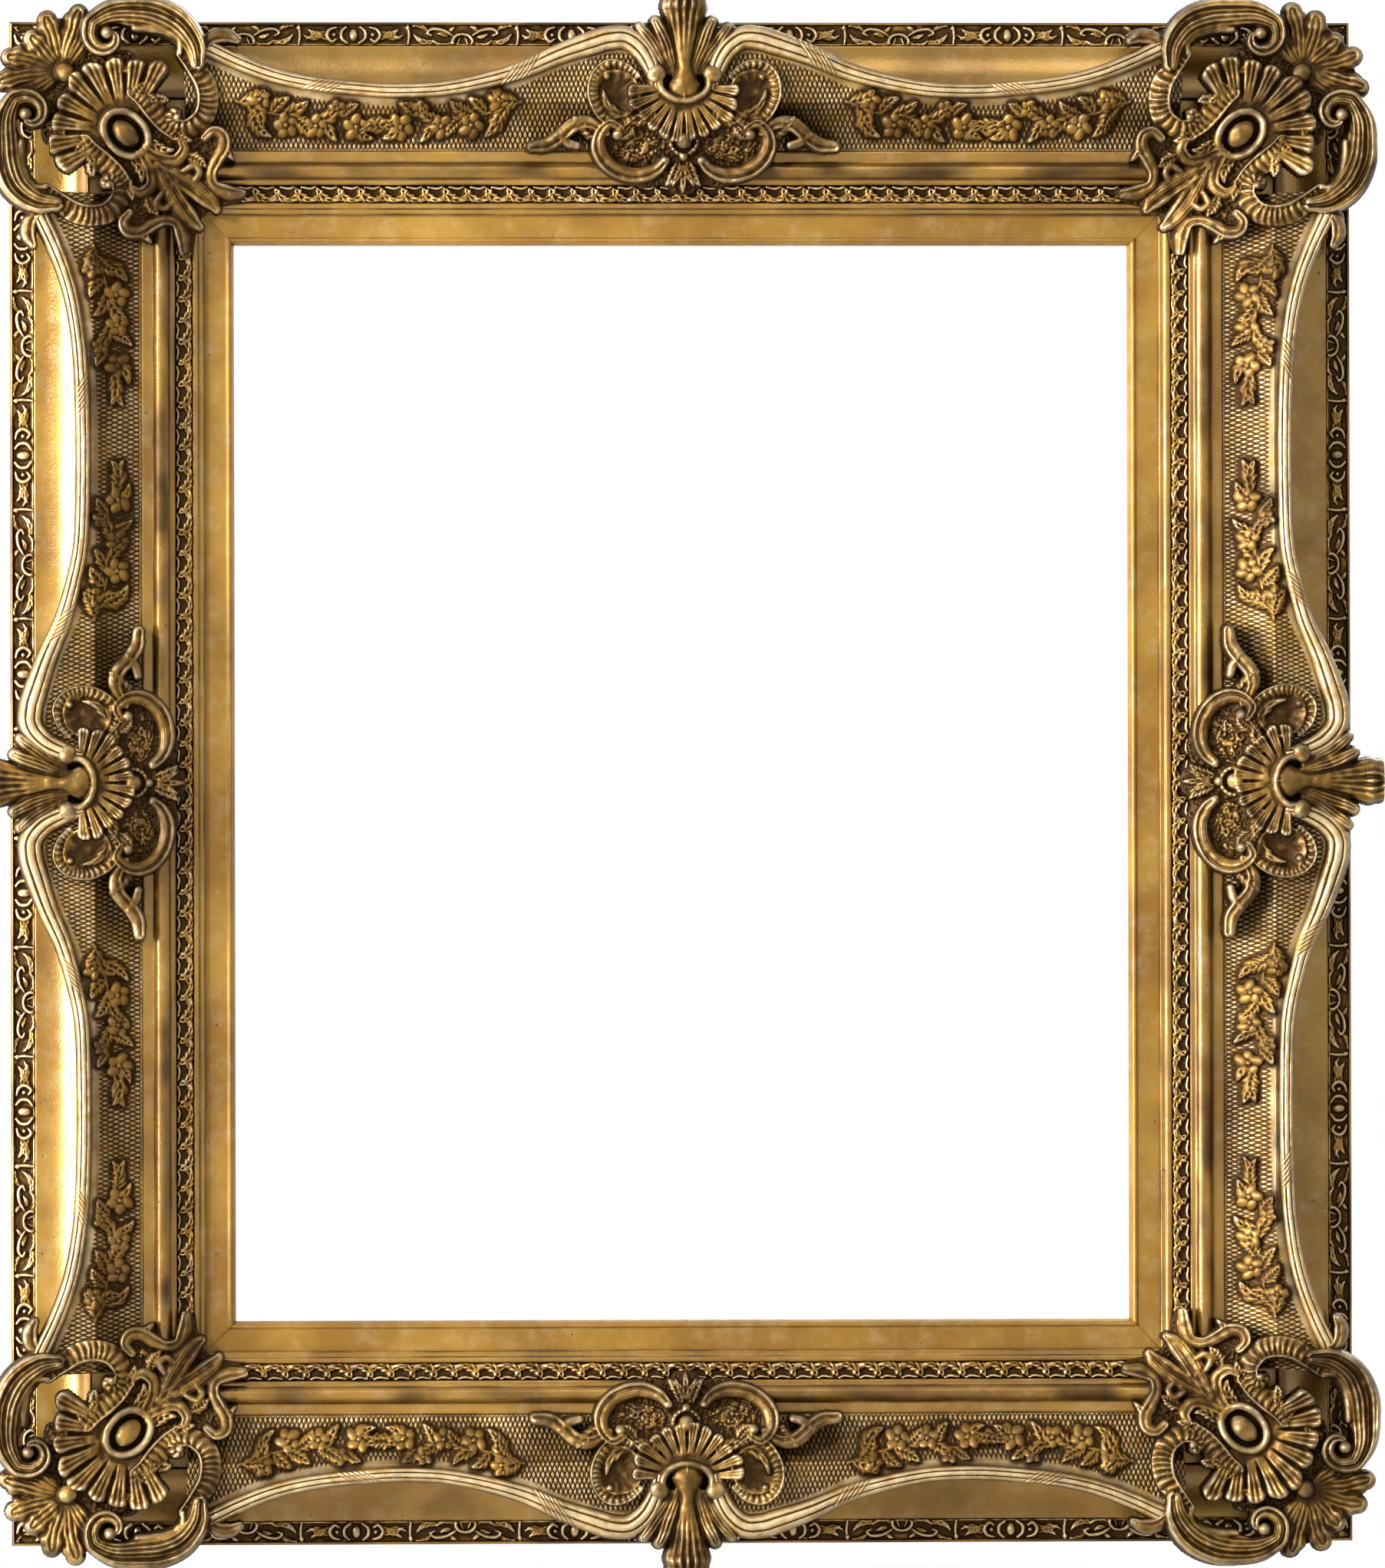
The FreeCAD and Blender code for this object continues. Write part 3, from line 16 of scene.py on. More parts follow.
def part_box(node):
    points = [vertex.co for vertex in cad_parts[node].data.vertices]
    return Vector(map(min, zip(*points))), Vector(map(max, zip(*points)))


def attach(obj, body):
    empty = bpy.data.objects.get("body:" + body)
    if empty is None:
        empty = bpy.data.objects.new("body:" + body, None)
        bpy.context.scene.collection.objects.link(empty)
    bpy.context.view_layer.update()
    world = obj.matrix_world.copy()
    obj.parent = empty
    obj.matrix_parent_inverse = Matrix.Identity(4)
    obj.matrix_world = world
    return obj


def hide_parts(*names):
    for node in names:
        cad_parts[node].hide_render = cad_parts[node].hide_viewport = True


MM = 1000  # millimetres in a metre

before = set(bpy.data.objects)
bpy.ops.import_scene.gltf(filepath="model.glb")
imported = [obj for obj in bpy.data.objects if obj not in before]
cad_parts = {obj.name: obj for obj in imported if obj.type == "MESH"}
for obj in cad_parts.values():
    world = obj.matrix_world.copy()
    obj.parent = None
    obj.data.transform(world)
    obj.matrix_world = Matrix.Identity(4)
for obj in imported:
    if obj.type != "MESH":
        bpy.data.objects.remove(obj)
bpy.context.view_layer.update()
random = np.random.default_rng(7)
print("nodes:", len(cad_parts))

# %% [markdown]
# ## Reading sizes from the part
#
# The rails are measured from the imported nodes, so the dressing follows the part. A rail is worked
# in its own axes: `along` it, distance `inset` from the frame's outer edge, and `height` off the
# wall. One rail is drawn once and turned to the four sides, as a frame maker would cut four
# lengths.

# %% Sizes of the rails and the turn to each side
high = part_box("moulding_top")[1]
HALF_WIDTH = high.x * MM
TOP = high.z * MM
HALF_HEIGHT = (high.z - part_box("moulding_bottom")[0].z) * MM / 2
CENTRE_Z = TOP - HALF_HEIGHT
RAIL = HALF_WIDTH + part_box("slip_left")[1].x * MM
SIDES = {"top": 0, "right": 1, "bottom": 2, "left": 3}
print("half width", round(HALF_WIDTH, 1), "half height", round(HALF_HEIGHT, 1), "rail",
      round(RAIL, 1), "mm")


def half_run(side):
    """Half the outer length of a side's rail."""
    return HALF_WIDTH if side in ("top", "bottom") else HALF_HEIGHT


def to_world(along, inset, height, side):
    """Points of a rail in the part's frame, in metres."""
    reach = HALF_HEIGHT if side in ("top", "bottom") else HALF_WIDTH
    x, z = along, reach - inset
    for _ in range(SIDES[side]):
        x, z = z, -x
    return np.stack([x, -height, z + CENTRE_Z], -1) / MM


# %% [markdown]
# ## Shader maths as plain expressions
#
# A finish is a small tree of nodes. Wrapping a socket in a class that knows `+`, `*` and the rest
# lets the recipe be read as a formula, while Blender still gets its Math nodes.

# %% A socket that adds, multiplies and clamps
def feed(tree, slot, value):
    """Links a wire to a socket, or gives the socket a plain value."""
    if isinstance(value, Wire):
        tree.links.new(value.socket, slot)
    else:
        slot.default_value = value


class Wire:
    """One value of a node tree."""

    def __init__(self, tree, socket):
        self.tree = tree
        self.socket = socket

    def math(self, operation, first, second=0.0):
        node = self.tree.nodes.new("ShaderNodeMath")
        node.operation = operation
        for slot, value in zip(node.inputs, (first, second)):
            feed(self.tree, slot, value)
        return Wire(self.tree, node.outputs[0])

    def __add__(self, other):
        return self.math("ADD", self, other)

    __radd__ = __add__

    def __sub__(self, other):
        return self.math("SUBTRACT", self, other)

    def __rsub__(self, other):
        return self.math("SUBTRACT", other, self)

    def __mul__(self, other):
        return self.math("MULTIPLY", self, other)

    __rmul__ = __mul__

    def __truediv__(self, other):
        return self.math("DIVIDE", self, other)

    def __pow__(self, other):
        return self.math("POWER", self, other)

    def clamped(self):
        return self.math("MAXIMUM", self.math("MINIMUM", self, 1.0), 0.0)

    def step(self, start, end):
        """0 before start, 1 after end, and smooth between them."""
        share = ((self - start) / (end - start)).clamped()
        return share * share * (3 - 2 * share)


class Finish:
    """A material under construction."""

    def __init__(self, name):
        self.material = bpy.data.materials.new(name)
        self.material.use_nodes = True
        self.tree = self.material.node_tree
        self.shader = self.tree.nodes["Principled BSDF"]
        self.place = self.node("ShaderNodeTexCoord", {}, {}, "Object")

    def node(self, kind, settings, sockets, output=0):
        """Any node: settings first, then the values or links of its sockets."""
        node = self.tree.nodes.new(kind)
        for name, value in settings.items():
            setattr(node, name, value)
        for name, value in sockets.items():
            feed(self.tree, node.inputs[name], value)
        return Wire(self.tree, node.outputs[output])

    def noise(self, scale, detail=3.0, roughness=0.55):
        return self.node("ShaderNodeTexNoise", {}, {"Vector": self.place, "Scale": scale,
                                                    "Detail": detail, "Roughness": roughness})

    def attribute(self, name):
        return self.node("ShaderNodeAttribute", {"attribute_name": name}, {}, "Fac")

    def blend(self, factor, first, second):
        """Colour between two colours; numbers of a colour are linear."""
        node = self.tree.nodes.new("ShaderNodeMix")
        node.data_type = "RGBA"
        for index, value in ((0, factor), (6, first), (7, second)):  # 6 and 7 take the colours
            if isinstance(value, tuple):
                value = (*value, 1.0)
            feed(self.tree, node.inputs[index], value)
        return Wire(self.tree, node.outputs[2])

    def bump(self, height, distance, strength=1.0):
        return self.node("ShaderNodeBump", {}, {"Height": height, "Distance": distance,
                                                "Strength": strength})

    def wear(self, **sockets):
        """Sets or links sockets of the surface shader."""
        for name, value in sockets.items():
            feed(self.tree, self.shader.inputs[name.replace("_", " ").title()], value)
        return self.material


# %% [markdown]
# ## Gold leaf, bole, old dirt and painted shade
#
# Water gilding lies over red-brown clay, called bole. Rubbing thins the leaf on the high places,
# and a century of dust and toning lacquer stays in the low ones. Each carved mesh carries three
# numbers per point: `hollow` and `proud`, measured from its own relief, so that dirt and wear sit
# where a cloth would leave or take them, and `bare`, where the wood was never gilded. The same two
# numbers also paint shade into the hollows, darkening them towards the toning colour, and a
# highlight onto the high places, paling them towards the pale leaf. The alternative to that painted
# shade, ambient occlusion in the shader, is slower.

# %% Gilding recipe
LEAF = (0.46, 0.254, 0.038)
DEEP_LEAF = (0.29, 0.142, 0.017)
# the pale leaf is also the colour of the painted highlight on the high places
PALE_LEAF_AND_HIGHLIGHT = (0.84, 0.66, 0.39)
# the toning colour is also the colour of the painted shade in the hollows
TONING_AND_SHADE = (0.034, 0.014, 0.003)
BOLE = (0.15, 0.038, 0.012)
RAW_WOOD = (0.44, 0.27, 0.12), (0.30, 0.17, 0.07)
CLOUDS, STAINS, MOTTLES = 14.0, 32.0, 90.0  # scales of the noises, from coarse to fine
FLECKS, GRAINS = 210.0, 700.0


def gilding(name, toned_and_shaded=1.0, rubbed_and_highlit=1.0, specked=1.0, roughness=0.30, metallic=0.42, tone=0.0,
            relief=0.00022, lacquer=0.0):
    """Gold leaf with its toning and painted shade, rubbed edges with a painted highlight, flecks of
    bole and thin lacquer.
    """
    finish = Finish(name)
    hollow = finish.attribute("hollow")
    proud = finish.attribute("proud")
    cloud = finish.noise(CLOUDS, 4.0)
    mottle = finish.noise(MOTTLES, 5.0, 0.65)
    grain = finish.noise(GRAINS, 3.0, 0.6)
    colour = finish.blend((cloud - 0.35).step(0.0, 0.32), DEEP_LEAF, LEAF)
    colour = finish.blend(mottle.step(0.45, 0.72) * 0.14, colour, PALE_LEAF_AND_HIGHLIGHT)
    # Painted highlight: the high places go paler towards the pale leaf, partly as rubbed wear.
    wear_and_highlight = (proud * (0.1 + mottle * 1.6) * rubbed_and_highlit).step(0.40, 1.05)
    colour = finish.blend(wear_and_highlight * 0.75, colour, PALE_LEAF_AND_HIGHLIGHT)
    stained = finish.noise(STAINS, 4.0, 0.6)
    film = (stained - 0.5) * 1.1 + (mottle - 0.5) * 0.5
    # Painted shade: the hollows go dark towards the toning colour, with real stains and an even
    # tone added.
    dirt_and_shade = (hollow * toned_and_shaded * 1.25 + film * toned_and_shaded + tone).step(0.08, 0.95)
    colour = finish.blend(dirt_and_shade * 0.95, colour, TONING_AND_SHADE)
    flecks = finish.noise(FLECKS, 2.0, 0.5).step(0.70, 0.76) * mottle.step(0.45, 0.6) * specked
    colour = finish.blend(flecks * 0.85, colour, BOLE)
    bare = finish.attribute("bare")
    wood = finish.blend(stained, *RAW_WOOD)
    colour = finish.blend(bare, colour, wood)
    rough = roughness + (grain - 0.5) * 0.22 + dirt_and_shade * 0.3 + flecks * 0.2 + bare * 0.4
    normal = finish.bump(grain + mottle * 1.5 - flecks * 0.8, relief, 0.6)
    shine = ((1 - metallic) * dirt_and_shade * 0.75 + metallic) * (1 - bare)
    finish.wear(base_color=colour, roughness=rough, metallic=shine, normal=normal,
                coat_weight=lacquer, coat_roughness=0.22)
    return finish.material


GILT = {
    "moulding": gilding("rubbed gilding", toned_and_shaded=0.55, rubbed_and_highlit=0.8, specked=1.0,
                        roughness=0.21, tone=0.05, lacquer=0.26),
    "ornament": gilding("cast ornament gilding", toned_and_shaded=1.1, rubbed_and_highlit=1.25, specked=0.4,
                        roughness=0.24, metallic=0.28, tone=0.52, relief=0.0005),
    "strip": gilding("running ornament gilding", toned_and_shaded=1.1, rubbed_and_highlit=1.4, specked=0.4,
                     roughness=0.24, tone=0.26),
    "rim": gilding("worn rim gilding", toned_and_shaded=1.1, rubbed_and_highlit=1.6, specked=0.5,
                   roughness=0.24, metallic=0.3, tone=0.12, relief=0.0005),
    "hatching": gilding("hatched ground gilding", toned_and_shaded=1.15, rubbed_and_highlit=1.9, specked=0.3,
                        roughness=0.34, metallic=0.28, tone=0.05),
    "slip": gilding("satin slip gilding", toned_and_shaded=0.4, rubbed_and_highlit=0.5, specked=1.3,
                    roughness=0.40, metallic=0.4),
}
print("gilded finishes:", len(GILT))


# %% [markdown]
# ## Bare wood and fittings
#
# The back is plain joinery: pine rails that have yellowed, thin hardwood keys, and brass and steel
# fittings gone dull. Their solids already have the right shape, so they only need finishes.

# %% Pine, beech, brass and steel
RINGS, FIBRES, BANDS = 9.0, 60.0, 18.0  # scales of the noises, and bands of grain to a ring


def timber(name, pale, dark, stretch):
    """Wood whose grain runs along the axis that has the smallest stretch."""
    finish = Finish(name)
    mapped = finish.node("ShaderNodeMapping", {}, {"Vector": finish.place, "Scale": stretch})
    rings = finish.node("ShaderNodeTexNoise", {}, {"Vector": mapped, "Scale": RINGS, "Detail": 6.0,
                                                   "Distortion": 0.6})
    fibre = finish.node("ShaderNodeTexNoise", {}, {"Vector": mapped, "Scale": FIBRES,
                                                   "Detail": 4.0})
    stain = finish.noise(6.0, 3.0).step(0.5, 0.8)
    streaks = rings.math("SINE", rings * BANDS) * 0.5 + 0.5
    colour = finish.blend(streaks * 0.7 + fibre * 0.3, pale, dark)
    colour = finish.blend(stain * 0.35, colour, tuple(0.4 * value for value in dark))
    normal = finish.bump(fibre + streaks * 0.4, 0.0004)
    finish.wear(base_color=colour, roughness=0.62 + fibre * 0.2, normal=normal)
    return finish.material


def metal(name, colour, dull, roughness):
    """Dulled sheet or wire."""
    finish = Finish(name)
    film = finish.noise(120.0, 5.0, 0.7)
    scratches = finish.noise(900.0, 2.0)
    shade = finish.blend(film.step(0.45, 0.75), colour, dull)
    finish.wear(base_color=shade, metallic=1.0, roughness=roughness + film * 0.25,
                normal=finish.bump(scratches + film, 0.00008))
    return finish.material


PINE = (0.60, 0.40, 0.20), (0.40, 0.23, 0.10)
LEVEL_PINE = timber("pine along the rail", *PINE, (1.0, 9.0, 9.0))
UPRIGHT_PINE = timber("pine along the stile", *PINE, (9.0, 9.0, 1.0))
BEECH = timber("beech keys", (0.42, 0.24, 0.11), (0.26, 0.13, 0.05), (3.0, 3.0, 3.0))
BRASS = metal("dull brass", (0.56, 0.38, 0.14), (0.22, 0.14, 0.06), 0.32)
STEEL = metal("zinc plated steel", (0.55, 0.55, 0.53), (0.25, 0.24, 0.22), 0.35)


def own_finish(node_name):
    """Finish of a solid that stays in sight, or None where the dressing stands for it."""
    if node_name.startswith("back_frame"):
        return LEVEL_PINE if node_name.endswith(("top", "bottom")) else UPRIGHT_PINE
    if node_name == "corner_keys":
        return BEECH
    if node_name.endswith("screws"):
        return STEEL
    if node_name.startswith(("hanger_strap", "hanger_ring", "turn_button")):
        return BRASS
    return None


finished = [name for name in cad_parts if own_finish(name)]
for node_name in finished:
    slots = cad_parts[node_name].data.materials
    slots.clear()
    slots.append(own_finish(node_name))
print("solids with a finish of their own:", len(finished))


# %% [markdown]
# ## From heights to a mesh
#
# Every gilded piece ends as points, four-cornered faces and the three numbers of wear, dirt and
# painted shade and highlight. numpy writes them straight into the mesh, which is far quicker than
# bmesh for tens of thousands of faces.

# %% Mesh maker
def cast(node_name, points, faces, hollow, proud, material, bare=None):
    """Makes the piece of the dressing that stands for a node of the part."""
    name = "dressed_" + node_name
    mesh = bpy.data.meshes.new(name)
    mesh.vertices.add(len(points))
    mesh.vertices.foreach_set("co", np.ascontiguousarray(points, np.float32).ravel())
    mesh.loops.add(faces.size)
    mesh.loops.foreach_set("vertex_index", np.ascontiguousarray(faces, np.int32).ravel())
    mesh.polygons.add(len(faces))
    mesh.polygons.foreach_set("loop_start", np.arange(0, faces.size, 4, dtype=np.int32))
    mesh.polygons.foreach_set("use_smooth", np.ones(len(faces), bool))
    mesh.update(calc_edges=True)
    bare = np.zeros(len(points)) if bare is None else bare
    # hollow drives toning and painted shade, proud rubbed wear and a painted highlight
    for label, values in (("hollow", hollow), ("proud", proud), ("bare", bare)):
        layer = mesh.attributes.new(label, "FLOAT", "POINT")
        values = np.ascontiguousarray(np.clip(values, 0, 1), np.float32)
        layer.data.foreach_set("value", values.ravel())
    mesh.materials.append(material)
    piece = bpy.data.objects.new(name, mesh)
    bpy.context.scene.collection.objects.link(piece)
    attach(piece, "frame")
    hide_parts(node_name)
    return piece


def grid_faces(rows, columns, closed=False):
    """Faces of a grid of points; closed joins the last column to the first."""
    index = np.arange(rows * columns).reshape(rows, columns)
    beside = np.roll(index, -1, 1) if closed else index[:, 1:]
    here = index if closed else index[:, :-1]
    return np.stack([here[:-1], here[1:], beside[1:], beside[:-1]], -1).reshape(-1, 4)


# %% [markdown]
# ## Smooth lines, blurs and random unevenness
#
# A carver sets out a scroll with a few marks and draws a fair line through them. `smooth_path` does
# the same through rows of numbers, of which the first two are the plan. Blurs run through numpy's
# Fourier transform, which costs the same for a narrow and a wide blur. All chance comes from one
# seeded source, so the frame is the same on each run.

# %% Lines and sheets of numbers
def smooth_path(rows, step):
    """Dense rows on a smooth curve through rows of numbers, the first two being the plan."""
    rows = np.array(rows, float)
    ends = np.vstack([2 * rows[0] - rows[1], rows, 2 * rows[-1] - rows[-2]])
    pieces = []
    for before, start, end, after in zip(ends, ends[1:], ends[2:], ends[3:]):
        count = max(2, int(np.hypot(*(end - start)[:2]) / step))
        t = np.linspace(0, 1, count, endpoint=False)[:, None]
        square = 2 * before - 5 * start + 4 * end - after
        cube = 3 * start - before - 3 * end + after
        pieces.append(0.5 * (2 * start + (end - before) * t + square * t ** 2 + cube * t ** 3))
    return np.vstack(pieces + [rows[-1:]])


def lengths_along(path):
    """Length from the start of a path to each of its points."""
    return np.concatenate([[0], np.cumsum(np.hypot(*np.diff(path[:, :2], axis=0).T))])


def blurred(values, sigma):
    """Gaussian blur of a sheet, sigma in cells."""
    margin = int(3 * sigma) + 1
    padded = np.pad(values, margin, mode="edge")
    down = np.fft.fftfreq(padded.shape[0])[:, None]
    across = np.fft.rfftfreq(padded.shape[1])[None, :]
    soft = np.exp(-2 * (math.pi * sigma) ** 2 * (down ** 2 + across ** 2))
    full = np.fft.irfft2(np.fft.rfft2(padded) * soft, s=padded.shape)
    return full[margin:-margin, margin:-margin]


def ripple(shape, spacing, sigma):
    """Smooth random heights of about unit size, sigma in the units of the spacing."""
    values = blurred(random.normal(size=shape), sigma / spacing)
    return (values - values.mean()) / (values.std() + 1e-9)


def unit(values):
    """Values held between 0 and 1."""
    return np.clip(values, 0, 1)


def bell(values, middle, width, power=2):
    """1 at the middle, falling smoothly to 0 beyond the width."""
    return np.exp(-((values - middle) / width) ** power)


print("a grid of 3 by 4 points has", len(grid_faces(3, 4)), "faces")
print("a path through 3 marks has", len(smooth_path([(0, 0), (10, 4), (20, 0)], 0.5)), "points")


# %% [markdown]
# ## A sheet of heights
#
# Composition ornament was pressed from carved moulds, so it has no undercuts: a height above each
# point of the plan describes it fully. The sheet starts at the seat, the level where the cast lies
# on the moulding, and each motif raises it over the roof, the level of its own ground. Motifs join
# by taking the higher one, as a carver's forms do where they meet. Sculpt brushes or booleans would
# give the same, slower and less repeatably.

# %% The sheet
CARVING_STEP = 0.5  # mm between the heights of a cast
PIT, PIT_EDGE = 0.75, 0.45  # size of the pits of the ground, and the share of them that is cut


def level(at):
    """A plane at one height."""
    return lambda x, y: x * 0 + at


class Relief:
    """Heights over a plan, in millimetres; flat where no roof and no seat are given."""

    def __init__(self, x_range, y_range, step, roof=level(0), seat=level(-1)):
        self.step = step
        x = np.arange(x_range[0], x_range[1] + step / 2, step)
        y = np.arange(y_range[0], y_range[1] + step / 2, step)
        self.x, self.y = np.meshgrid(x, y)
        self.roof = roof(self.x, self.y)
        self.seat = seat(self.x, self.y)
        self.height = self.seat.copy()
        self.ground = -np.exp(-(ripple(self.x.shape, step, PIT) / PIT_EDGE) ** 2)

    def window(self, low_x, high_x, low_y, high_y):
        """The rows and columns between two places."""
        columns = np.searchsorted(self.x[0], (low_x, high_x))
        rows = np.searchsorted(self.y[:, 0], (low_y, high_y))
        return slice(rows[0], rows[1]), slice(columns[0], columns[1])

    def around(self, centre, reach):
        """The window about a centre, and the steps from that centre."""
        x, y = centre
        window = self.window(x - reach, x + reach, y - reach, y + reach)
        return window, self.x[window] - x, self.y[window] - y

    def raise_to(self, window, top, cover):
        """Takes the higher of the sheet and a top, where cover goes from 0 to 1 at its edge."""
        seat = self.seat[window]
        raised = seat + (top - seat) * unit(cover)
        self.height[window] = np.maximum(self.height[window], raised)


# %% [markdown]
# ## Strokes
#
# Most of the ornament is a band drawn along a curve: a scroll, a stem, a lip or a comb. `stroke`
# finds the nearest point of the curve for each place of the sheet, and lets a profile say how high
# the band stands there from its place across (-1 to 1) and along. A leaf is a stroke whose width
# swells.

# %% Bands and leaves
PATH_STEP = 0.5


def stroke(sheet, rows, rise, profile, edge=0.7, base=0.0):
    """Raises a band along a curve of rows (x, y, half width); profile gives its section."""
    path = smooth_path(rows, PATH_STEP)
    run = lengths_along(path)
    reach = path[:, 2].max() + edge
    window = sheet.window(path[:, 0].min() - reach, path[:, 0].max() + reach,
                          path[:, 1].min() - reach, path[:, 1].max() + reach)
    x, y = sheet.x[window], sheet.y[window]
    if not x.size:
        return
    heading = np.gradient(path[:, :2], axis=0)
    best = np.full(x.shape, np.inf)
    nearest = np.zeros(x.shape, int)
    for index, (path_x, path_y) in enumerate(path[:, :2]):
        gap = (x - path_x) ** 2 + (y - path_y) ** 2
        closer = gap < best
        best[closer] = gap[closer]
        nearest[closer] = index
    half = np.maximum(path[nearest, 2], 0.1)
    side = (heading[nearest, 0] * (y - path[nearest, 1])
            - heading[nearest, 1] * (x - path[nearest, 0]))
    gap = np.sqrt(best)
    across = np.clip(np.sign(side) * gap / half, -1, 1)
    top = sheet.roof[window] + base + rise * profile(across, run[nearest], run[-1])
    sheet.raise_to(window, top, (half + edge - gap) / edge)


def leaf(sheet, start, end, width, rise, bend=0.0, lobes=3):
    """A lobed leaf with a sunk midrib, from its root to its tip."""
    start, end = np.array(start, float), np.array(end, float)
    span = end - start
    side = np.array([-span[1], span[0]]) * bend
    places = np.linspace(0, 1, 12)
    swell = np.sin(math.pi * places ** 0.75) ** 0.7 * 0.9 + 0.12
    swell *= 1 + 0.09 * np.cos(2 * math.pi * lobes * places)
    rows = [(*(start + span * t + side * 4 * t * (1 - t)), width / 2 * w)
            for t, w in zip(places, swell)]

    def section(across, run, length):
        share = run / length
        veins = 0.12 * np.cos(2 * math.pi * (lobes * 2 * share - 1.3 * np.abs(across)))
        crown = (1 - np.abs(across) ** 2.6) * (0.5 + 0.5 * unit(share * 1.4) ** 0.7)
        return crown + veins - 0.35 * np.exp(-(across / 0.2) ** 2)

    stroke(sheet, rows, rise, section, 0.6)


# %% [markdown]
# ## Ovals
#
# Bosses, dishes, sockets and rings are all ovals. One helper measures how far a place lies from the
# centre of a turned oval, 1 being its edge, and each form then draws its own height from that
# measure.

# %% Bosses, dishes, sockets and rings
def oval(dx, dy, long, short, turn):
    """Distance from an oval's centre as a share of its radius there."""
    return np.hypot((dx * math.cos(turn) + dy * math.sin(turn)) / long,
                    (dy * math.cos(turn) - dx * math.sin(turn)) / short)


print("half way out along the long radius:", oval(2, 0, long=4, short=2, turn=0))


def boss(sheet, centre, long, short, turn, rise, base=0.0):
    """A rounded boss, oval where its radii differ."""
    window, dx, dy = sheet.around(centre, max(long, short) + 1)
    far = oval(dx, dy, long, short, turn)
    top = sheet.roof[window] + base + rise * np.sqrt(unit(1 - far ** 2))
    sheet.raise_to(window, top, (1 - far) * short / 0.5 + 1)


def dish(sheet, centre, long, short, turn, rise, floor):
    """A hollowed oval: low in its middle, rising to a fluted lip."""
    window, dx, dy = sheet.around(centre, max(long, short) + 1)
    far = oval(dx, dy, long, short, turn)
    cut = unit((1 - far) * short / 1.5)
    flutes = 0.5 * np.cos(13 * np.arctan2(dy, dx)) * unit(far) ** 2
    bowl = sheet.roof[window] + floor + (rise - floor) * unit(far) ** 2.4 + flutes
    sheet.height[window] = sheet.height[window] * (1 - cut) + bowl * cut


def socket(sheet, centre, long, short, turn, depth):
    """Cuts an oval socket."""
    far = oval(sheet.x - centre[0], sheet.y - centre[1], long, short, turn)
    cut = unit((1 - far) * short / 1.2)
    sheet.height = sheet.height * (1 - cut) + (sheet.roof - depth) * cut


def ring(sheet, centre, long, short, turn, half, rise, beads=0):
    """A raised oval band, plain or beaded."""
    rows = []
    for angle in np.linspace(0, 2 * math.pi, 40):
        x, y = long * math.cos(angle), short * math.sin(angle)
        rows.append((centre[0] + x * math.cos(turn) - y * math.sin(turn),
                     centre[1] + x * math.sin(turn) + y * math.cos(turn), half))

    def section(across, run, length):
        crown = np.sqrt(unit(1 - across ** 2))
        return crown * (0.8 + 0.2 * np.cos(2 * math.pi * beads * run / length)) if beads else crown

    stroke(sheet, rows, rise, section)


# %% [markdown]
# ## Shells and the pitted ground
#
# The shell is the main motif of each cast. It is drawn about its own centre: smooth near it, then
# cut by slots into lobes that end in a turned rim. The ground between the motifs was pitted with a
# punch so that it looks dark and dead beside the burnished forms, and the outline of that ground is
# the outline of the whole cast.

# %% Shell and slab
def shell(sheet, centre, heading, spread, near, far, lobes, rise):
    """A dished shell: smooth by its centre, then cut by slots into lobes with fine ribs."""
    window, dx, dy = sheet.around(centre, far)
    gap = np.hypot(dx, dy)
    turn = (np.arctan2(dy, dx) - heading + math.pi) % (2 * math.pi) - math.pi
    place = (turn / spread + 1) / 2 * lobes
    middle = np.abs(2 * (place % 1) - 1)
    rim = far * (1 - 0.07 * middle ** 2 + 0.035 * np.sin(5.3 * turn + 0.7)
                 + 0.02 * np.sin(11 * turn))
    share = unit((gap - near) / (rim - near))
    slot = unit((middle - 0.74) / 0.26) ** 1.3 * unit((share - 0.12) / 0.3)
    ribs = (0.5 + 0.5 * np.cos(2 * math.pi * place * 4)) * unit((share - 0.25) / 0.3)
    ribs = ribs + 0.8 * np.sin(4.3 * turn + 1.0) * share
    bowl = 0.30 + 0.55 * share ** 1.3 + 0.28 * bell(share, 0.92, 0.10)
    top = sheet.roof[window] + rise * (bowl - (0.85 + 0.2 * share) * slot + 0.2 * ribs)
    cover = np.minimum((rim + 0.8 - gap) / 0.8, ((spread - np.abs(turn)) * gap + 0.8) / 0.8)
    sheet.raise_to(window, top, cover)


def slab(sheet, outline, pits):
    """The ground of the cast inside an outline, with a pitted surface and a rounded edge."""
    outline = smooth_path(list(outline) + [outline[0]], 0.8)[:, :2]
    inside = np.zeros(sheet.x.shape, bool)
    gap = np.full(sheet.x.shape, np.inf)
    for (ax, ay), (bx, by) in zip(outline, np.roll(outline, -1, 0)):
        if ay != by:
            crosses = (ay > sheet.y) != (by > sheet.y)
            inside ^= crosses & (sheet.x < (bx - ax) * (sheet.y - ay) / (by - ay) + ax)
        gap = np.minimum(gap, (sheet.x - ax) ** 2 + (sheet.y - ay) ** 2)
    gap = np.sqrt(gap) * np.where(inside, 1, -1)
    top = sheet.roof + pits * sheet.ground * (gap > 1.0)
    top = top - 1.2 * np.exp(-np.clip(gap, 0, 9) / 1.2)
    sheet.raise_to((slice(None), slice(None)), top, (gap + 0.7) / 0.7)


# %% [markdown]
# ## Sections of the bands
#
# A profile is a small formula of the place across a band and the length run along it. Each stands
# for one tool mark of the real ornament: the bold lip of a hood, the ribs of a husk, the flutes of
# a comb. `hand` turns a lip to the other edge where the band is mirrored.

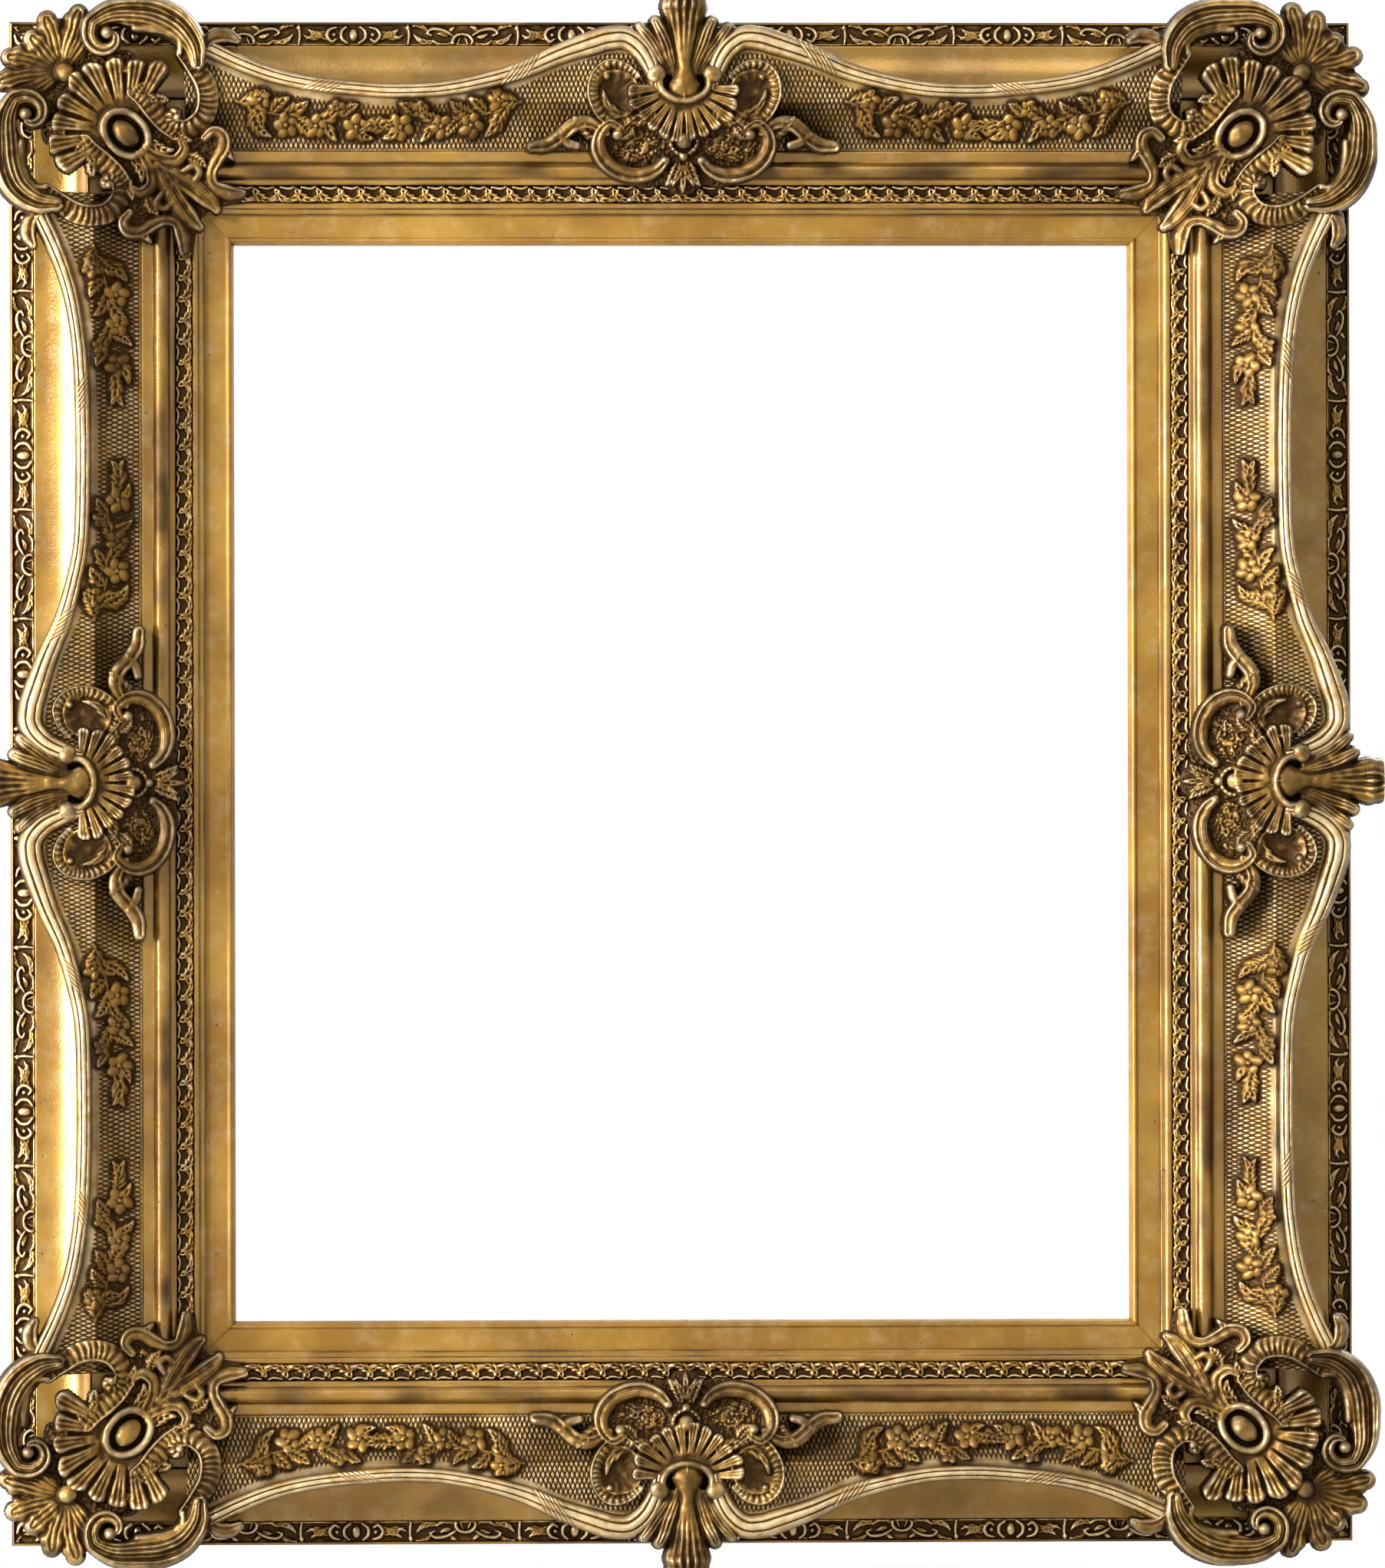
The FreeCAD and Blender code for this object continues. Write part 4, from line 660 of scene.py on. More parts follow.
# %% Profiles
def hooded(hand):
    """Section of a broad hood: a bold lip on its outer edge and shallow reeds behind it."""
    def section(across, run, length):
        crown = np.sqrt(unit(1 - np.abs(across) ** 3.0))
        lip = bell(hand * across, -0.74, 0.2)
        trough = bell(hand * across, -0.28, 0.24)
        reed = np.cos(7 * math.pi * across + 1.8 * np.sin(run / 11.0))
        fall = unit(hand * across) ** 1.5
        return crown * (0.80 + 0.20 * lip - 0.20 * trough + 0.08 * reed - 0.34 * fall)
    return section


def crested(across, run, length):
    """Section of the crest: a plain stem that opens into a ribbed, turned lip."""
    share = run / length
    ribs = 0.5 + 0.5 * np.cos(2 * math.pi * 3.0 * across)
    opened = unit((share - 0.35) / 0.35)
    lip = bell(share, 0.93, 0.07)
    scallop = 0.12 * np.cos(2 * math.pi * 2.5 * across) * lip
    rise = 0.62 - 0.22 * opened + 0.2 * ribs * opened + 0.4 * lip + scallop
    return (1 - np.abs(across) ** 2.6) * rise


def husk(across, run, length):
    """Section of a husk: fine ribs that rise towards a turned tip."""
    share = run / length
    ribs = np.abs(np.cos(math.pi * 2.0 * across + 0.4 * np.sin(run / 4.0))) ** 0.7
    rise = 0.28 + 0.22 * share + 0.25 * bell(share, 0.86, 0.12)
    return (1 - np.abs(across) ** 3.0) * (rise + 0.42 * ribs * unit(share * 2))


def rounded(across, run, length):
    """Section of a plain round band."""
    return np.sqrt(unit(1 - across ** 2))


def fluted(pitch, lean=0.8, hand=1):
    """Section of a comb: flutes across a raised band, with a plain bead on one edge."""
    def section(across, run, length):
        crown = 1 - 0.6 * np.clip(across, -1, 1) ** 2
        turns = run / pitch + lean * across ** 2 + 0.35 * np.sin(run / 5.0)
        teeth = 0.5 + 0.5 * np.cos(2 * math.pi * turns)
        bead = bell(hand * across, 0.78, 0.2)
        return np.maximum(crown * (0.50 + 0.24 * teeth + 0.22 * hand * across), 0.98 * bead)
    return section


print("a round band is", rounded(0.0, 0, 1), "high in its middle and", rounded(1.0, 0, 1),
      "at its edge")


# %% [markdown]
# ## The plan of the moulding
#
# The section below is the moulding as it lies: flat edge, bed of the outer strip, cove, seat of the
# swept panel, fillet, torus, bed of the inner strip and two small steps, closed round its back.
# Each rail is swept along a section with mitred ends. A slight unevenness keeps it from looking
# extruded.

# %% Sections of the rail and the slip
COVE_START, COVE_END = (14.5, 25.5), (44.0, 52.0)
FILLET = 41  # height of the flat between the panel and the torus
TORUS_MIDDLE, TORUS_RADIUS = 85.3, 4.5
COVE = [(COVE_START[0] + (COVE_END[0] - COVE_START[0]) * math.sin(t),
         COVE_END[1] - (COVE_END[1] - COVE_START[1]) * math.cos(t))
        for t in np.linspace(0, math.pi / 2, 22)]
TORUS = [(TORUS_MIDDLE - TORUS_RADIUS * math.cos(t), FILLET + TORUS_RADIUS * math.sin(t))
         for t in np.linspace(0.05, math.pi - 0.05, 15)]
OUTER_EDGE = [(0, 16), (0, 21.4), (0.5, 22.1), (1.3, 23.4), (1.5, 20.5), (13.2, 20.5), (13.5, 25.1),
              (14.1, 25.5)]
PANEL_BED = [(44.2, 36), (73.8, 36), (74.1, 40.6), (74.6, 41), (80.3, 41)]
INNER_BED = [(89.9, 39), (92.9, 39), (93.2, 38.6), (93.3, 32), (103, 32)]
STEPS = [(103.2, 33.7), (103.6, 34), (106.0, 34), (106.4, 33.6), (106.5, 32), (109.3, 32),
         (109.7, 31.7)]
BEHIND = [(109.8, 28), (103, 28), (103, 6), (60, 6), (60, 16)]
SECTION = OUTER_EDGE + COVE + PANEL_BED + TORUS + INNER_BED + STEPS + BEHIND
SLIP = [(103.5, 20), (103.5, 28), (109.9, 28), (122.7, 28.0), (123.1, 28.6), (123.6, 28.8),
        (124.6, 28.7), (125.1, 28.2), (126.9, 24.4), (127.0, 23.9), (127.0, 20)]
print("the rail's section has", len(SECTION), "points and the slip's", len(SLIP))


# %% [markdown]
# ## Sweeping a length
#
# A rail is cut from a long run of moulding, so it is a section drawn along a line and mitred at its
# ends. The seams between its members hold dirt, the mitres hold more, and the crest of the torus
# and the fillet are paler, as leaf that wears first and as a painted highlight; the three numbers
# per point say this. A curve object with a bevel would give the shape too, but not these numbers,
# which have to be worked out from the place in the section.

# %% Mitred lengths
STATION = 2.5  # mm between the sections of a swept length
MITRE_GAP = 0.06
FACE = 20  # heights above this are seen from the front
WALL_SIDE, WALL_DUST = 18, 0.35  # faces below this height, and the dust on them
BARE_BELOW = 20.45
DUSTY_COVE = 26  # distance in of the cove's lowest stretch, where dust lies


def dense_section(corners, spacing):
    """Section with extra points, each run split so that wear can vary across it."""
    places = []
    for start, end in zip(corners, corners[1:] + corners[:1]):
        count = max(1, int(math.dist(start, end) / spacing))
        places += [(start[0] + (end[0] - start[0]) * i / count,
                    start[1] + (end[1] - start[1]) * i / count) for i in range(count)]
    return np.array(places)


def swept(side, name, corners, spacing, material, unevenness, seams):
    """Mitred length of a section on one side of the frame."""
    places = dense_section(corners, spacing)
    insets, heights = places[:, 0], places[:, 1]
    stations = int(2 * half_run(side) / STATION)
    t = np.linspace(-1, 1, stations)[:, None]
    inset = np.repeat(insets[None, :], stations, 0)
    height = np.repeat(heights[None, :], stations, 0)
    along = t * (half_run(side) - inset - MITRE_GAP)
    height = height + unevenness * ripple(height.shape, 1.0, 14.0) * (heights > FACE)
    seam = np.zeros(height.shape)
    for place, reach in seams:
        seam = np.maximum(seam, bell(insets, place, reach)[None, :])
    mitre = bell(half_run(side) - inset - np.abs(along), 0, 0.9)
    # Paler leaf on the torus crest and the fillet: rubbed wear and a painted highlight
    worn_and_highlit = 0.6 * bell(heights, FILLET + TORUS_RADIUS, 0.6) + bell(heights, FILLET, 0.25) * 0.35
    film = 0.60 * bell(insets, TORUS_MIDDLE, 5.0, 4) + 0.26 * bell(insets, DUSTY_COVE, 14.0, 4)
    hollow = np.maximum(seam, mitre) * (0.75 + 0.35 * ripple(height.shape, 1.0, 5.0))
    hollow = hollow + film * (heights > FACE) * (1 + 0.5 * ripple(height.shape, 1.0, 4.0))
    hollow = np.where(heights < WALL_SIDE, WALL_DUST, hollow)
    bare = np.broadcast_to(heights < BARE_BELOW, height.shape)
    points = to_world(along, inset, height, side).reshape(-1, 3)
    faces = grid_faces(stations, len(places), closed=True)[:, ::-1]
    return cast(name + "_" + side, points, faces, hollow, np.broadcast_to(worn_and_highlit, height.shape),
                material, bare)


MOULDING_SEAMS = [(0.4, 0.5), (1.5, 0.4), (13.5, 0.5), (74.0, 0.8), (80.7, 0.5), (90.0, 0.7),
                  (93.2, 0.6), (103.2, 0.7), (106.5, 0.5), (109.8, 0.8)]
SLIP_SEAMS = [(109.9, 0.9), (122.6, 0.45)]
for side in SIDES:
    rail = swept(side, "moulding", SECTION, 1.1, GILT["moulding"], 0.10,
                 MOULDING_SEAMS)
    edge = swept(side, "slip", SLIP, 0.9, GILT["slip"], 0.05, SLIP_SEAMS)
    print(side, "moulding", len(rail.data.polygons), "faces, slip", len(edge.data.polygons))


# %% [markdown]
# ## The swept line
#
# The frame gets its name from the line that sweeps between the centre and the corner ornaments: low
# where it meets them, high on the rail between. One half of a side is set out from the photograph's
# proportions and mirrored. A smooth curve through few marks keeps the sweep fair, as a batten
# would.

# %% Setting out the sweep
SHARE = 100  # shares of 100 mm, in which the curves are set out
WAIST = 40.7  # distance in of the rim on the straight
RIM_HALF = 4.4
PLATEAU = 60.0  # height of the panel beside the rim
PANEL_IN = 74.0  # distance in of the panel's inner edge
SHOULDER = 46.8  # distance in at which the panel starts to fall
HOLLOW_MIDDLE, HOLLOW_HEIGHT, HOLLOW_RADIUS = 85.1, 83.6, 45.0
NEAR_CENTRE = [(0.153, 1.03, 0.91), (0.17, 0.79, 1.25), (0.23, 0.47, 1.55), (0.32, 0.283, 1.66),
               (0.42, 0.275, 1.7), (0.52, 0.344, 1.68), (0.71, 0.504, 1.43), (0.916, 0.72, 1.23),
               (1.138, 0.872, 1.09), (1.36, 0.973, 1.02)]
NEAR_CORNER = [(1.95, 0.97, 1.0), (1.75, 0.921, 1.0), (1.57, 0.843, 1.05), (1.42, 0.737, 1.09),
               (1.27, 0.59, 1.14), (1.13, 0.43, 1.25), (1.0, 0.295, 1.36)]
COMB = [(0.975, 0.20, 0.030), (1.045, 0.28, 0.042), (1.10, 0.37, 0.046), (1.115, 0.47, 0.046),
        (1.09, 0.56, 0.045), (1.02, 0.615, 0.042), (0.95, 0.62, 0.036)]


def sweep_rows(run):
    """Centre line of the rim over half a side: along, inset and half width."""
    rows = [(SHARE * d, WAIST * u, RIM_HALF * w) for d, u, w in NEAR_CENTRE]
    start, end = SHARE * NEAR_CENTRE[-1][0], run - SHARE * NEAR_CORNER[0][0]
    rows += [(start + (end - start) * share, WAIST, RIM_HALF) for share in (1 / 3, 2 / 3)]
    return rows + [(run - SHARE * s, WAIST * u, RIM_HALF * w) for s, u, w in NEAR_CORNER]


def slope(inset):
    """Height of the panel's face, a flat and then a hollow slope to the fillet."""
    drop = np.clip(HOLLOW_RADIUS ** 2 - (HOLLOW_MIDDLE - inset) ** 2, 0, None)
    hollow = HOLLOW_HEIGHT - np.sqrt(drop)
    return np.where(inset < SHOULDER, PLATEAU, np.minimum(hollow, PLATEAU))


print("the panel falls from", PLATEAU, "to", round(float(slope(PANEL_IN)), 1), "mm off the wall")


# %% [markdown]
# ## Sprays on the hatched ground
#
# Four sprays of leaves and small open flowers lie on each side, growing out from the ornaments.
# They are pressed composition glued on the hatching, so they are motifs of the same height sheet.

# %% A spray of flowers
LEAF_SWELL, LEAF_RISE, LEAF_BEND = (1.3, 1.7), (3.6, 4.8), (0.6, 1.8)  # ranges of chance
PETALS, PETAL_SWELL, PETAL_RISE = 5, (0.85, 1.2), 3.8


def spray(sheet, start, heading):
    """Leaves and flowers along a bent stem from a place on the panel."""
    def place(forward, inset):
        return start + heading * forward, inset

    stem = [(0, 47, 1.0), (18, 53, 1.0), (40, 56, 0.9), (62, 55, 0.8), (84, 60, 0.6)]
    stroke(sheet, [(*place(f, u), w) for f, u, w in stem], 1.6, rounded)
    leaves = [(2, 47, 16, 40.5, 7, .1), (6, 49, 14, 62, 7, -.15), (10, 51, 20, 66, 6, .12),
              (20, 53, 30, 45, 6, -.1), (26, 54, 40, 47, 6, .1), (32, 56, 42, 66, 6, -.12),
              (44, 56, 58, 47.5, 5.5, .15), (50, 56, 57, 69, 5, .1), (60, 55, 69, 48.5, 5, -.1),
              (66, 57, 78, 67, 5.5, .12), (72, 58, 90, 57, 6, .15), (76, 60, 91, 64, 5, -.1)]
    for f, u, tip_f, tip_u, width, bend in leaves:
        leaf(sheet, place(f, u), place(tip_f, tip_u), width * random.uniform(*LEAF_SWELL),
             random.uniform(*LEAF_RISE), bend * heading * random.uniform(*LEAF_BEND),
             random.choice((2, 3)))
    flowers = [(13, 46, 5.4), (28, 60, 6.2), (45, 60.5, 5.8), (68, 61, 6.4), (57, 51, 4.4)]
    for f, u, radius in flowers:
        x, y = place(f, u)
        turned = random.uniform(0, 1)
        for petal in range(PETALS):
            angle = 2 * math.pi * (petal + turned) / PETALS
            swell = random.uniform(*PETAL_SWELL)
            middle = (x + radius * 0.6 * math.cos(angle), y + radius * 0.6 * math.sin(angle))
            boss(sheet, middle, radius * 0.68 * swell, radius * 0.54, angle + 0.5,
                 PETAL_RISE * swell)
        boss(sheet, (x, y), radius * 0.34, radius * 0.30, angle, 4.9)


# %% [markdown]
# ## The hatched panel
#
# The panel's slope was scored with crossing lines before it was gilded, so that the plain ground
# would not compete with the ornament. A band beside the rim and one above the fillet stay smooth.
# The mesh runs from the rim's line down to the fillet, reads the sheet of sprays between its
# points, and cuts the hatching wherever no spray covers it.

# %% Hatched panels
LOZENGE_LONG, LOZENGE_WIDE, CUT = 2.7, 6.2, 0.2
COMB_FOOT = 74.2  # distance in of the panel's end beside the comb
SMOOTH_BAND = 8.0
CORNER_CAST = 100  # the corner casts cover this much of the rail's ends
SPRAY_STARTS = 128, 92  # from the corner and from the middle of the side
PANEL_POINTS = 74  # across the panel's face
EDGE_LEVELS = 36.5, 48.0, 56.0  # heights of the outer edge, from the bed up
FOOT_LEVEL = 37.0  # height of the inner edge's foot


def hatching(along, inset):
    """Lozenge hatching, 0 in its cuts and 1 on its scales."""
    wander = (0.16 * np.sin(along / 9.0 + inset / 5.0)
              + 0.12 * np.sin(along / 23.0 - inset / 11.0))
    first = along / LOZENGE_LONG + inset / LOZENGE_WIDE + wander
    second = along / LOZENGE_LONG - inset / LOZENGE_WIDE + wander * 0.6
    gap = np.minimum(0.5 - np.abs(first % 1 - 0.5), 0.5 - np.abs(second % 1 - 0.5))
    return unit(gap / CUT) ** 0.8


def pick(sheet, values, along, inset):
    """Reads a sheet of heights between its points."""
    column = np.clip((along - sheet.x[0, 0]) / sheet.step, 0, sheet.x.shape[1] - 1.001)
    row = np.clip((inset - sheet.y[0, 0]) / sheet.step, 0, sheet.x.shape[0] - 1.001)
    i, j = row.astype(int), column.astype(int)
    s, t = row - i, column - j
    return ((values[i, j] * (1 - t) + values[i, j + 1] * t) * (1 - s)
            + (values[i + 1, j] * (1 - t) + values[i + 1, j + 1] * t) * s)


def panel_edge(run):
    """Points of the panel's outer edge, and the place along where each meets the inner edge."""
    line = smooth_path(sweep_rows(run), PATH_STEP)[:, :2]
    comb = smooth_path([(run - SHARE * s, SHARE * u) for s, u, w in COMB], 0.6)
    feet = np.concatenate([line[:, 0], np.linspace(line[-1, 0], run - COMB_FOOT, len(comb))])
    outer = np.vstack([line, comb])
    order = np.argsort(feet, kind="stable")
    outer, feet = outer[order], feet[order]
    outer = np.vstack([outer[::-1] * (-1, 1), [(0, outer[0, 1])], outer])
    return outer, np.concatenate([-feet[::-1], [0], feet])


def spray_heights(run):
    """The sheet of the four sprays of a side, and its softly uneven heights."""
    sheet = Relief((-run + CORNER_CAST, run - CORNER_CAST), (34, 76), CARVING_STEP)
    from_corner, from_middle = SPRAY_STARTS
    for heading, start in ((1, -run + from_corner), (-1, run - from_corner),
                           (1, from_middle), (-1, -from_middle)):
        spray(sheet, start, heading)
    uneven = 0.25 * ripple(sheet.height.shape, CARVING_STEP, 1.8) * (sheet.height > 0)
    return sheet, np.maximum(blurred(sheet.height + uneven, 0.35), 0)


def panel(side):
    """The panel's face and its outer edge on one side."""
    run = half_run(side)
    outer, feet = panel_edge(run)
    share = np.concatenate([[0] * len(EDGE_LEVELS), np.linspace(0, 1, PANEL_POINTS), [1]])[None, :]
    along = outer[:, :1] + (feet[:, None] - outer[:, :1]) * share
    inset = outer[:, 1:] + (PANEL_IN - outer[:, 1:]) * share
    sheet, lift = spray_heights(run)
    laid = pick(sheet, lift, along, inset) * (np.abs(along) < run - CORNER_CAST - 1)
    softened = pick(sheet, blurred(lift, 3.2), along, inset)
    tight = pick(sheet, blurred(lift, 1.4), along, inset)
    covered = unit(laid / 0.4)
    clear = inset - outer[:, 1:] - SMOOTH_BAND
    cuts = 1 - ((1 - hatching(along, inset)) * unit((PANEL_IN - inset) / 1.2)
                * unit(clear / 1.5))
    height = slope(inset) + laid + (cuts - 1) * 0.95 * (1 - covered)
    # Painted shade in the hatching's cuts, with toning there, and round the foot of each spray.
    hollow = np.maximum((1 - cuts) * 0.95 * (1 - covered),
                        unit((softened - laid) / 1.0) * 0.9)
    hollow = np.maximum(hollow, unit((tight - laid) / 0.45) * 0.85)
    # Painted shade beside the rim, which stands over the panel.
    rim_shade = np.exp(-np.clip(clear + SMOOTH_BAND / 2, 0, None) / 3.0)
    hollow = unit(hollow + 0.30 * rim_shade + 0.15 + 0.12 * covered)
    # Painted highlight on the sprays' edges and on the scales between the cuts, partly as rubbed
    # wear.
    proud = np.maximum(unit((laid - softened) / 2.0) * 0.6, cuts * (1 - covered) * 0.42)
    height[:, :len(EDGE_LEVELS)] = EDGE_LEVELS
    height[:, -1] = FOOT_LEVEL
    # Painted shade on the panel's outer edge, under the rim.
    hollow[:, :len(EDGE_LEVELS)] = 0.7
    points = to_world(along, inset, height, side).reshape(-1, 3)
    return cast("swept_panel_" + side, points, grid_faces(*height.shape)[:, ::-1], hollow, proud,
                GILT["hatching"])


for side in SIDES:
    print("panel", side, len(panel(side).data.polygons), "faces")


# %% [markdown]
# ## The reeded rim
#
# The rim is a bundle of three reeds that widens towards the ornaments, bound by a leaf ribbon in a
# few places. It is one strip of points across the swept line, whose section is drawn by formula.

# %% Rims
REEDS, RIM_RISE, RIM_POINTS = 3, 6.4, 34
BINDINGS, BINDING_HALF = (0.28, 0.66), 9.0  # shares of the length, and half the width of a ribbon


def rim_length(path, hand, side):
    """Points, faces, hollow and proud of one length of rim along a path."""
    heading = np.gradient(path[:, :2], axis=0)
    heading /= np.hypot(*heading.T)[:, None]
    across = np.linspace(-1, 1, RIM_POINTS)[None, :]
    half = path[:, 2:3]
    length = lengths_along(path)[:, None]
    reeds = np.sqrt(unit(1 - (2 * ((across + 1) / 2 * REEDS % 1) - 1) ** 2))
    crown = np.sqrt(unit(1 - np.abs(across) ** 2.4))
    profile = crown * (0.80 + 0.20 * reeds + 0.10 * bell(across, -0.55, 0.3))
    bound = np.zeros(profile.shape)
    for place in BINDINGS:
        shifted = length - length[-1] * place - hand * across * half * 1.4
        inside = unit(BINDING_HALF - np.abs(shifted))
        twist = 0.5 + 0.5 * np.cos(2 * math.pi * shifted / 3.0)
        bound = np.maximum(bound, inside)
        profile = profile * (1 - inside) + inside * crown * (0.84 + 0.28 * twist)
    height = PLATEAU - 0.4 + RIM_RISE * np.sqrt(half / RIM_HALF) * profile
    height += 0.16 * ripple(height.shape, 1.0, 3.0) + 0.25 * ripple(height.shape, 1.0, 11.0)
    ends = np.minimum(length, length[-1] - length)
    height = PLATEAU - 2 + (height - PLATEAU + 2) * unit(ends / 1.5) ** 0.5
    height[:, :1] = height[:, -1:] = PLATEAU - 6
    along = path[:, :1] - heading[:, 1:] * across * half
    inset = path[:, 1:2] + heading[:, :1] * across * half
    # Painted shade in the grooves between the reeds and down the rim's sides; painted highlight on
    # the crests of the reeds, partly as rubbed wear.
    hollow = unit((1 - reeds) ** 2 * 0.8 * (1 - bound) + (1 - crown) ** 2 * 0.7 + 0.05)
    proud = np.broadcast_to(crown * reeds * 0.75, height.shape)
    points = to_world(along, inset, height, side).reshape(-1, 3)
    return points, grid_faces(*height.shape)[:, ::-1], hollow.ravel(), proud.ravel()


def rim(side):
    """Both lengths of the reeded rim on one side."""
    line = smooth_path(sweep_rows(half_run(side)), 0.6)
    mirrored = line[::-1] * (-1, 1, 1)
    points, faces, hollow, proud = zip(rim_length(line, 1, side), rim_length(mirrored, -1, side))
    faces = np.vstack([faces[0], faces[1] + len(points[0])])
    return cast("swept_rim_" + side, np.vstack(points), faces, np.concatenate(hollow),
                np.concatenate(proud), GILT["rim"])


for side in SIDES:
    print("rim", side, len(rim(side).data.polygons), "faces")


# %% [markdown]
# ## Running ornament
#
# The two narrow strips repeat a short pattern, as composition from a roller or a long mould does.
# One repeat is carved as a height sheet, then read again and again along each rail, up to the
# mitres.

# %% Repeats of the outer and the inner strip
OUTER_REPEAT, OUTER_WIDE, OUTER_IN, OUTER_BED = 124, 12.1, 1.4, 20.5
INNER_REPEAT, INNER_WIDE, INNER_IN, INNER_FLOOR = 108, 9.8, 93.3, 32.0
STRIP_STEP = 0.35
LEAF_PITCH = 12
ARCH, EGG = OUTER_REPEAT / 4, OUTER_REPEAT * 3 / 4  # the middles of the two motifs
ARCH_BANDS = [(3.0, [(0, 5.4, 1.0), (3.4, 6.3, 1.2), (5.6, 9.0, 1.2), (5.2, 11, .9)]),
              (2.8, [(6, 6, .8), (11, 3.2, 1.2), (17, 2.6, 1.2), (20, 4.8, 1.0), (17.5, 6.2, .8)]),
              (1.8, [(1.5, 7.5, .6), (2.8, 10.6, .6)])]
EGG_BANDS = [(3.0, [(4.0, 1.4, 1.0), (6.6, 4, 1.3), (6.6, 8, 1.3), (3.4, 10.6, 1.0)]),
             (3.0, [(9.5, 1.6, .8), (13.5, 3, 1.3), (15, 6.4, 1.4), (12.4, 9.8, 1.2),
                    (9.8, 8.4, .9)])]
ARCH_LEAVES = [(5, 9.5, 17, 8.6, 4.0, 3.0, .25), (16, 9.5, 28, 5.0, 4.6, 2.8, .2),
               (20, 3.5, 29, 1.2, 3.6, 2.4, -.2)]
EGG_LEAVES = [(15, 4, 26, 2.2, 4.6, 2.8, .2), (14, 9, 27, 8.6, 4.8, 2.8, -.2),
              (17, 6.4, 29, 5.6, 3.4, 2.4, .15)]
SPRIGS = [(8, 7.0, 14.5, 5.2, 3.4, 2.4), (9, 4, 4.5, 1.0, 3.0, 2.2)]


def outer_repeat():
    """Arch with scrolled leaves, then an egg between C scrolls."""
    sheet = Relief((0, OUTER_REPEAT), (0, OUTER_WIDE), STRIP_STEP)
    stroke(sheet, [(-2, 11.4, 0.7), (OUTER_REPEAT + 2, 11.4, 0.7)], 1.2, rounded)
    for hand in (-1, 1):
        for middle, bands, leaves in ((ARCH, ARCH_BANDS, ARCH_LEAVES),
                                      (EGG, EGG_BANDS, EGG_LEAVES)):
            for rise, rows in bands:
                stroke(sheet, [(middle + hand * x, y, w) for x, y, w in rows], rise, rounded)
            for x, y, tip_x, tip_y, wide, rise, bend in leaves:
                leaf(sheet, (middle + hand * x, y), (middle + hand * tip_x, tip_y), wide, rise,
                     bend * hand, 2)
        for x, y, tip_x, tip_y, wide, rise in SPRIGS:
            leaf(sheet, (ARCH + hand * x, y), (ARCH + hand * tip_x, tip_y), wide, rise, 0.1, 2)
        boss(sheet, (EGG + hand * 11, 5.8), 1.5, 1.5, 0, 2.4)
    boss(sheet, (EGG, 6), 4.0, 2.7, math.pi / 2, 3.4)
    for x in (0, OUTER_REPEAT / 2, OUTER_REPEAT):
        stroke(sheet, [(x, 0.6, 0.8), (x + .6, 6, 1.1), (x, 11.4, 0.8)], 2.8, rounded)
        boss(sheet, (x, 2), 1.7, 1.7, 0, 3.0)
    return sheet


def inner_repeat():
    """Twisted run of overlapping leaves, no two alike."""
    sheet = Relief((0, INNER_REPEAT), (0, INNER_WIDE), STRIP_STEP)
    for turn in range(INNER_REPEAT // LEAF_PITCH):
        neighbour = -INNER_REPEAT if turn > 6 else INNER_REPEAT  # lets the repeat's ends join
        for x in (LEAF_PITCH * turn, LEAF_PITCH * turn + neighbour):
            lean, wide = 0.9 * math.sin(2.1 * turn), 1 + 0.18 * math.cos(3.7 * turn)
            leaf(sheet, (x, 1.2), (x + 13 + lean, 7.6), 6.4 * wide, 3.4, 0.25, 2)
            leaf(sheet, (x + 5 + lean, 7.0), (x + 15, 2.0 - 0.4 * lean), 4.2, 2.8, 0.25, 2)
            stroke(sheet, [(x + 1, 8.6, 0.8), (x + 5, 7.6, 1.1), (x + 9, 8.8, 1.0),
                           (x + 13, 8.4, 0.8)], 2.2, rounded)
            stroke(sheet, [(x + 3, 1.0, 0.7), (x + 8, 1.8, 1.0), (x + 11, 0.8, 0.7)], 1.8, rounded)
    return sheet


# %% [markdown]
# ## Laying the strips
#
# Each point of a strip finds its place in the repeat from its distance along the rail, so the
# pattern runs on without a seam. What lies below its surroundings is hollow and holds toning and
# painted shade; what stands above them is proud, rubbed bright and given a painted highlight.

# %% Strips
SPACING = 0.42, 0.5  # mm between the points across and along a strip


def blurred_run(values, sigma):
    """Blur of a repeat whose ends join."""
    wide = values.shape[1]
    return blurred(np.hstack([values] * 3), sigma)[:, wide:2 * wide]


